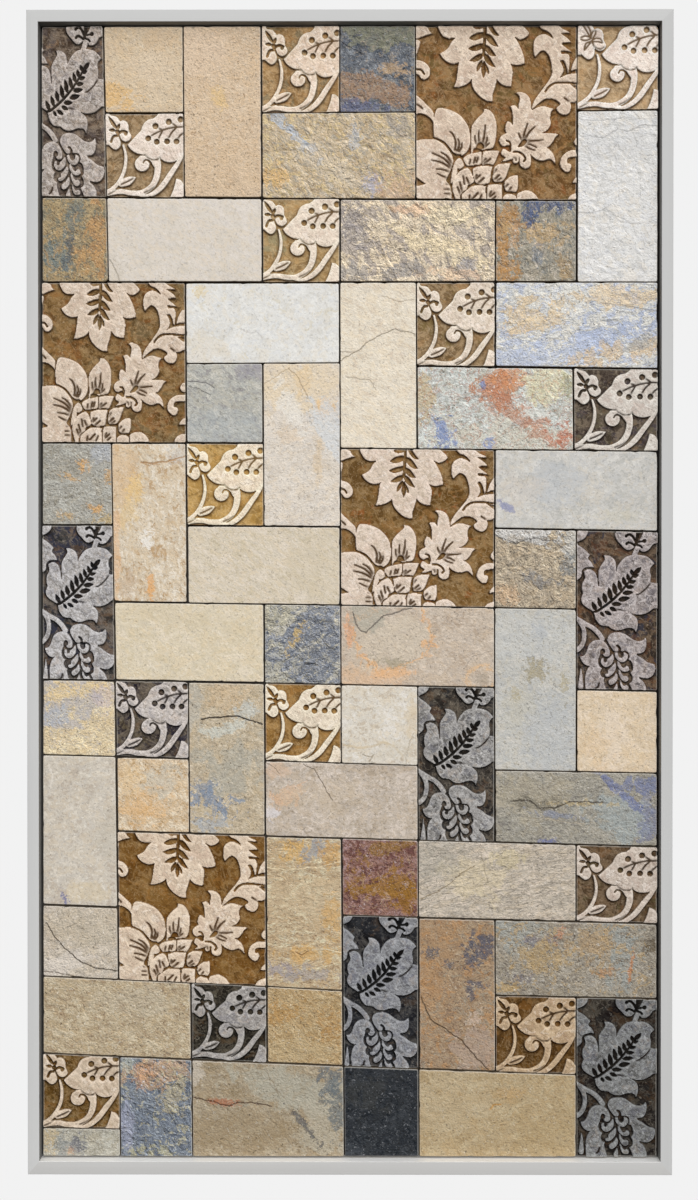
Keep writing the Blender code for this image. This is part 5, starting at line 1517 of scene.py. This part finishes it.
# ---------------------------------------------------------------- how each carved stone is finished
# code: "ground light, ground dark, raised light, raised dark"
# These shades weren't chosen by hand: the first were written from a separate program's samples, and others
# then moved and scaled them.
CARVED_SHADES = {
    "S01": "185,152,110 146,113,72 247,227,208 212,186,159",
    "S02": "198,170,134 167,137,100 255,242,229 223,203,189",
    "S03": "170,145,113 137,112,80 245,229,216 220,204,187",
    "S04": "186,157,113 159,127,83 244,228,209 218,200,182",
    "S05": "159,133,100 126,100,67 242,226,210 207,192,171",
    "S06": "110,98,85 65,55,49 223,216,206 194,181,171",
    "S07": "196,160,101 177,139,78 247,231,207 224,204,177",
    "S08": "95,86,76 43,37,41 206,197,191 165,156,146",
    "S09": "163,126,75 136,100,51 241,227,205 215,200,178",
    "S10": "106,86,66 73,56,38 212,199,186 179,164,151",
    "S11": "58,54,46 30,27,23 172,167,162 130,124,120",
    "S12": "107,78,43 77,52,21 202,178,147 153,127,98",
    "S13": "125,98,60 79,54,17 219,201,180 184,165,141",
    "T01": "125,110,96 75,60,49 199,188,180 128,115,102",
    "T02": "94,86,80 49,51,53 195,192,192 138,132,125",
    "T03": "98,81,66 55,46,39 186,176,173 106,97,93",
    "T04": "78,72,65 42,39,37 171,168,165 99,96,93",
    "T05": "50,51,54 26,27,31 148,149,152 102,101,103",
    "T06": "48,46,43 27,22,21 132,133,133 83,81,78",
    "L01": "149,115,76 109,78,45 234,215,194 194,171,151",
    "L02": "145,115,75 106,78,43 228,210,191 198,178,157",
    "L03": "140,111,72 108,78,39 231,213,197 206,189,168",
    "L04": "131,98,54 106,71,29 227,208,185 197,175,153",
}

# Further colours in the ground of some carved stones.
GROUND_LAYERS = {
    "L01": """
        blotches 150,92,52 40 0.22 0.6 1 0 0.05
        blotches 104,92,56 34 0.3 0.5 1 0 0.05""",
    "L02": """
        blotches 132,84,44 36 0.25 0.6 1 0 0.05
        blotches 124,112,84 30 0.25 0.5 1 0 0.05""",
    "L03": "blotches 150,84,40 24 0.08 0.6 1 0 0.04",
    "S01": "blotches 122,118,96 22 0.3 0.6 1 0 0.05",
    "S04": "blotches 152,148,118 24 0.3 0.6 1 0 0.05",
    "S05": "blotches 128,110,68 20 0.3 0.6 1 0 0.05",
    "S06": """
        blotches 74,68,78 22 0.25 0.6 1 0 0.05
        blotches 112,104,80 20 0.25 0.5 1 0 0.05""",
    "S08": """
        blotches 46,46,60 26 0.4 0.8 1 0 0.04
        blotches 104,92,68 20 0.25 0.6 1 0 0.04""",
    "S10": "blotches 96,88,60 22 0.3 0.5 1 0 0.05",
    "T01": "blotches 92,84,84 34 0.35 0.6 1 0 0.05",
    "T02": """
        blotches 52,54,70 34 0.4 0.8 1 0 0.04
        blotches 88,70,54 26 0.3 0.7 1 0 0.04""",
    "T03": """
        blotches 54,56,68 34 0.3 0.8 1 0 0.04
        blotches 92,62,44 26 0.3 0.7 1 0 0.04""",
    "T04": """
        blotches 44,46,50 30 0.3 0.7 1 0 0.04
        blotches 84,62,50 22 0.15 0.6 1 0 0.04""",
    "T06": "blotches 60,46,34 26 0.3 0.6 1 0 0.04",
    "S12": "blotches 96,66,24 20 0.4 0.5 1 0 0.05",
    "S13": "blotches 128,108,72 12 0.15",
}


def wear(marbled, light, dark):
    """Smears, scratches and specks on the carving, in shades near the carving's own."""
    if marbled:
        return [
            blotches(between(dark, (120, 124, 150), 0.35), 16, 0.28, 0.6, 1.2, 30),
            blotches(between(light, (190, 150, 110), 0.3), 18, 0.18, 0.4, 1.2, -30),
            blotches(between(light, WHITE, 0.22), 11, 0.16, 0.7, 1.5, -50, 0.015),
            blotches(between(dark, BLACK, 0.18), 10, 0.16, 0.7, 1.5, 20, 0.015),
            veins(between(light, WHITE, 0.3), 10, 0.022, 0.7, 1.4, 40),
            veins(between(dark, BLACK, 0.4), 14, 0.009, 0.5, 1.4, -40),
            blotches(between(dark, BLACK, 0.35), 3.2, 0.06, 0.5),
        ]
    return [
        blotches(between(dark, (190, 148, 132), 0.3), 18, 0.25, 0.4, 1.6, 40),
        blotches(between(light, (255, 250, 245), 0.4), 12, 0.2, 0.55, 1.4, -30, 0.015),
        blotches(between(dark, (120, 96, 72), 0.12), 10, 0.16, 0.6, 1.4, 30, 0.015),
        veins(between(dark, EARTH, 0.5), 21, 0.007, 0.7, 2.4, 35, -0.15),
        veins(between(dark, EARTH, 0.3), 14, 0.007, 0.6, 2.0, -50, -0.1),
        blotches(between(dark, EARTH, 0.45), 3.2, 0.05, 0.5),
    ]


def carved_material(code, face):
    """The material of a carved stone: stained ground, pale worn carving, painted shadow and highlight at
    every edge.
    """
    ground_light, ground_dark, raised_light, raised_dark = values_of(CARVED_SHADES[code])
    marbled = code[0] == "T" or code in ("S08", "S11")
    work = StoneWork(f"stone_{code}", face)
    work.colour = work.mottle(
        ground_light, between(ground_light, ground_dark, 0.5), ground_dark,
        55 if code[0] == "L" else 34, 1.3, 0.6, work.next_seed())["Color"]
    work.lay([
        *layers_of(GROUND_LAYERS.get(code, "")),
        blotches(between(ground_light, (255, 225, 180), 0.14), 30, 0.25, 0.7, 1.3, 30, 0.025),
        blotches(between(ground_dark, (20, 10, 0), 0.22), 26, 0.25, 0.7, 1.3, -30, 0.025),
        blotches(between(ground_light, (220, 120, 30), 0.14), 24, 0.18, 0.6, 1.3, 10),
        veins(between(ground_light, (255, 240, 215), 0.2), 22, 0.04, 0.55, 1.3, 50),
        veins(between(ground_dark, (20, 10, 0), 0.25), 19, 0.02, 0.5, 1.4, 20),
        blotches(between(ground_light, (255, 240, 215), 0.4), 3.4, 0.05, 0.5),
    ])
    ground = work.colour
    raised = work.mottle(
        raised_light, between(raised_light, raised_dark, 0.35),
        between(raised_light, raised_dark, 0.78 if marbled else 0.58),
        20 if marbled else 36, 1.6, 0.9, work.next_seed())
    work.colour = raised["Color"]
    work.lay(wear(marbled, raised_light, raised_dark))
    work.colour = work.mix(work.span(work.attribute("raised"), 0.3, 0.7), ground, work.colour)
    # The painted shadow beside the carving, the dark colour of the cut veins and the painted highlight on its
    # rims.
    deep = (0.2, 0.2, 0.2) if marbled else (0.42, 0.34, 0.22)
    shade = tuple(part * share for part, share in zip(ground_dark, deep))
    work.tint(work.attribute("painted_shade"), shade, 0.97)
    work.tint(work.attribute("vein"), between(ground_dark, (30, 16, 2), 0.45), 0.97)
    pale = tuple(min(255.0, part * 1.06 + 6.0) for part in raised_light)
    work.tint(work.attribute("painted_rim_highlight"), pale, 0.75)
    work.heights.append((raised["Height"], 0.35 if marbled else 0.12))
    return work.complete(0.75 if marbled else 0.5, 0.6 if marbled else 0.4, 7.0, 1.3, 60.0, 0.62, 0.75, 0.35)


# ---------------------------------------------------------------- making the stones
places = packed_stones()
for stone_code in sorted(places):
    place = places[stone_code]
    if stone_code[0] == "P":
        surface = plain_face(stone_code, place, PLAIN_FINISHES[stone_code][0])
        finish = plain_material(stone_code, surface)
        label = f"plain_{stone_code}"
    else:
        surface = carved_face(stone_code, place)
        finish = carved_material(stone_code, surface)
        label = f"carved_{stone_code}"
    add_piece(label, stone_mesh(label, surface), finish, [place["node"]])


# ---------------------------------------------------------------- frame and board
# Each rail's front shade, the way its inner face looks and that face's painted tone (painted shade on the top
# and side rails, a painted highlight on the bottom rail's ledge), and how squarely a spot has to face that
# way to begin to take the inner tone and to take it whole.
RAILS = {
    "frame_top": ((197, 197, 196), (0.0, 0.0, -1.0), (120, 120, 118), 0.5, 0.9),
    "frame_right": ((192, 192, 191), (-1.0, 0.0, 0.0), (128, 128, 126), 0.75, 0.98),
    "frame_bottom": ((193, 192, 190), (0.0, 0.0, 1.0), (254, 254, 252), 0.5, 0.9),
    "frame_left": ((198, 198, 197), (1.0, 0.0, 0.0), (128, 128, 126), 0.75, 0.98),
}
EDGE_RADIUS = 0.7
BACK_CHAMFER = 0.4


def rail_section(depth, width):
    """Points (across, depth) round a rail, from its back outer corner over its rounded front."""
    outer = [(BACK_CHAMFER, 0.0), (0.0, BACK_CHAMFER)]
    for step in range(7):
        turn = math.radians(15.0 * step)
        outer.append((EDGE_RADIUS * (1.0 - math.cos(turn)), depth - EDGE_RADIUS * (1.0 - math.sin(turn))))
    return outer + [(width - across, forward) for across, forward in reversed(outer)]


def metal_material(name, along):
    """Satin light grey metal, brushed along the rail; the inner face takes painted shade or a painted
    highlight.
    """
    material, bench, shader = new_material(f"satin_{name}")
    shade, inward, painted_inner_tone, start, whole = RAILS[name]
    brushing = bench.group(satin_brushing, Along=along, Seed=3.0 + len(name))
    colour = bench.mix(1.0, tone(*shade), brushing["Factor"], "MULTIPLY")
    # Painted shade on the inner faces of the top and side rails, a painted highlight on the bottom rail's
    # ledge.
    colour = bench.mix(bench.span(bench.facing(inward), start, whole), colour, tone(*painted_inner_tone))
    bench.feed(shader.inputs["Base Color"], colour)
    bench.feed(shader.inputs["Roughness"], brushing["Roughness"])
    bench.feed(shader.inputs["Normal"], bench.bump(brushing["Factor"], 0.25, 0.1 * MM))
    shader.inputs["Metallic"].default_value = 0.1
    shader.inputs["Specular IOR Level"].default_value = 0.2
    return material


def add_rail(name, outer_a, outer_b, inner_b, inner_a):
    """One mitred rail with softly rounded front edges, between two outer and two inner corners."""
    depth = -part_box(name)[0].y / MM
    across = np.subtract(inner_a, outer_a)
    upright = name in ("frame_left", "frame_right")
    width = abs(across[0 if upright else 1])
    section = rail_section(depth, width)
    rail = []
    for outer, inner in ((outer_a, inner_a), (outer_b, inner_b)):
        for place, forward in section:
            flat = np.array(outer) + np.subtract(inner, outer) * place / width
            rail.append((flat[0] * MM, -forward * MM, flat[1] * MM))
    count = len(section)
    faces = [tuple(reversed(range(count))), tuple(range(count, 2 * count))]
    faces += [(i, (i + 1) % count, count + (i + 1) % count, count + i) for i in range(count)]
    mesh = bpy.data.meshes.new(f"rail_{name}")
    mesh.from_pydata(rail, [], faces)
    mesh.update()
    mesh.shade_smooth()
    mesh.set_sharp_from_angle(angle=SHARP)
    along = (1400.0, 900.0, 4.0) if upright else (4.0, 900.0, 1400.0)
    add_piece(f"rail_{name}", mesh, metal_material(name, along), [name])


def corners_of(left, right, top, bottom):
    return [(left, top), (right, top), (right, bottom), (left, bottom)]


half_wide, half_tall = cad_high.x / MM, cad_high.z / MM
inner_left, inner_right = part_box("frame_left")[1].x / MM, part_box("frame_right")[0].x / MM
inner_top, inner_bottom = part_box("frame_top")[0].z / MM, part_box("frame_bottom")[1].z / MM
outer = corners_of(-half_wide, half_wide, half_tall, -half_tall)
inner = corners_of(inner_left, inner_right, inner_top, inner_bottom)
for i, rail_name in enumerate(RAILS):
    j = (i + 1) % 4
    add_rail(rail_name, outer[i], outer[j], inner[j], inner[i])


def board_material():
    """Dark fibreboard: pressed fibres, darker on the side that faces the stones."""
    material, bench, shader = new_material("dark_fibreboard")
    fibres = bench.mottle((92, 84, 74), (78, 71, 62), (62, 56, 49), 12, 1.6, 0.5, 4.0)
    fine = bench.group(grain_and_painted_shade, Size=0.003, Stretch=1.5, Turn=0.3, Amount=0.8, Flake=0.2, Seed=6.0)
    # Fibre grain, with painted light and shade from its relief.
    colour = bench.mix(1.0, fibres["Color"], fine["Factor"], "MULTIPLY")
    colour = bench.mix(bench.span(bench.facing((0.0, -1.0, 0.0)), 0.3, 0.7), colour, tone(46, 41, 36))
    bench.feed(shader.inputs["Base Color"], colour)
    bench.feed(shader.inputs["Normal"], bench.bump(fine["Height"], 0.6, 0.3 * MM))
    shader.inputs["Roughness"].default_value = 0.85
    return material


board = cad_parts["backing_board"]
board.data.materials.clear()
board.data.materials.append(board_material())
soften = board.modifiers.new("broken_edges", "BEVEL")
soften.width = 0.5 * MM
soften.segments = 2


# ---------------------------------------------------------------- floor, light and camera
KEY_STRENGTH = 2.1
KEY_WIDTH = 16.0                                  # how wide the key looks from the panel (degrees)
KEY_FROM = (0.10, -1.0, 0.17)                     # where the key stands, seen from the panel
ROOM_LOW = (0.05, 0.35)                           # how bright the room is below and at eye level
ROOM_TOP = 0.75                                   # how much brighter it is overhead
SHOWN_ROOM = (0.887, 0.887, 0.887, 1.0)           # the room as the camera sees it
FLOOR = (-3.0, 3.0, -4.6, 2.4, -1.9)              # its left, right, near and far sides and its level (m)
# The camera's lens, place, tilt and swing were solved by a separate fitting program.
LENS = 48.44                                      # (mm)
CAMERA_PLACE = (0.00629, -2.135, 0.00662)         # (m)
CAMERA_TILT, CAMERA_SWING = 89.59, 0.198          # (degrees)


def floor_material():
    """Pale smooth screed, faintly clouded."""
    material, bench, shader = new_material("pale_floor")
    cloud = bench.mottle((236, 235, 233), (233, 232, 230), (229, 228, 226), 400, 1.0, 0.0, 2.0)
    bench.feed(shader.inputs["Base Color"], cloud["Color"])
    shader.inputs["Roughness"].default_value = 0.8
    return material


def add_floor():
    """A plain pale floor in front of and below the panel."""
    left, right, near, far, level = FLOOR
    mesh = bpy.data.meshes.new("floor")
    mesh.from_pydata([(left, near, level), (right, near, level), (right, far, level), (left, far, level)],
                     [], [(0, 1, 2, 3)])
    mesh.materials.append(floor_material())
    floor = bpy.data.objects.new("floor", mesh)
    floor.visible_diffuse = False                 # it throws no light back on the panel
    bpy.context.scene.collection.objects.link(floor)


def add_studio():
    """A soft key from the front, a little above and to the right, in a pale room that is lighter above."""
    key = bpy.data.lights.new("soft_key", "SUN")
    key.energy = KEY_STRENGTH
    key.angle = math.radians(KEY_WIDTH)
    lamp = bpy.data.objects.new("soft_key", key)
    lamp.rotation_euler = Vector(KEY_FROM).to_track_quat("Z", "Y").to_euler()
    bpy.context.scene.collection.objects.link(lamp)

    world = bpy.data.worlds.new("pale_studio")
    world.use_nodes = True
    bpy.context.scene.world = world
    tree = world.node_tree
    bench = Bench(tree)
    shown = tree.nodes["Background"]
    shown.inputs["Color"].default_value = SHOWN_ROOM
    direction = bench.add("ShaderNodeTexCoord").outputs["Generated"]
    height = bench.add("ShaderNodeSeparateXYZ", {0: direction}).outputs["Z"]
    level = bench.plus(bench.span(height, -0.6, 0.3, *ROOM_LOW), bench.span(height, 0.3, 0.85, 0.0, ROOM_TOP))
    right = bench.vector("DOT_PRODUCT", direction, (1.0, 0.0, 0.0))
    level = bench.times(level, bench.span(right, -0.9, 0.9, 0.8, 1.2))
    room = bench.add("ShaderNodeBackground", {"Color": level})
    seen = bench.add("ShaderNodeLightPath").outputs["Is Camera Ray"]
    both = bench.add("ShaderNodeMixShader", {0: seen, 1: room.outputs[0], 2: shown.outputs[0]})
    bench.feed(tree.nodes["World Output"].inputs["Surface"], both.outputs[0])


add_floor()
add_studio()

view = bpy.data.cameras.new("camera")
view.lens = LENS
view.sensor_width = 36.0
camera = bpy.data.objects.new("camera", view)
camera.location = CAMERA_PLACE
camera.rotation_euler = (math.radians(CAMERA_TILT), 0.0, math.radians(CAMERA_SWING))
bpy.context.scene.collection.objects.link(camera)
bpy.context.scene.camera = camera
bpy.context.scene.view_settings.view_transform = "Standard"
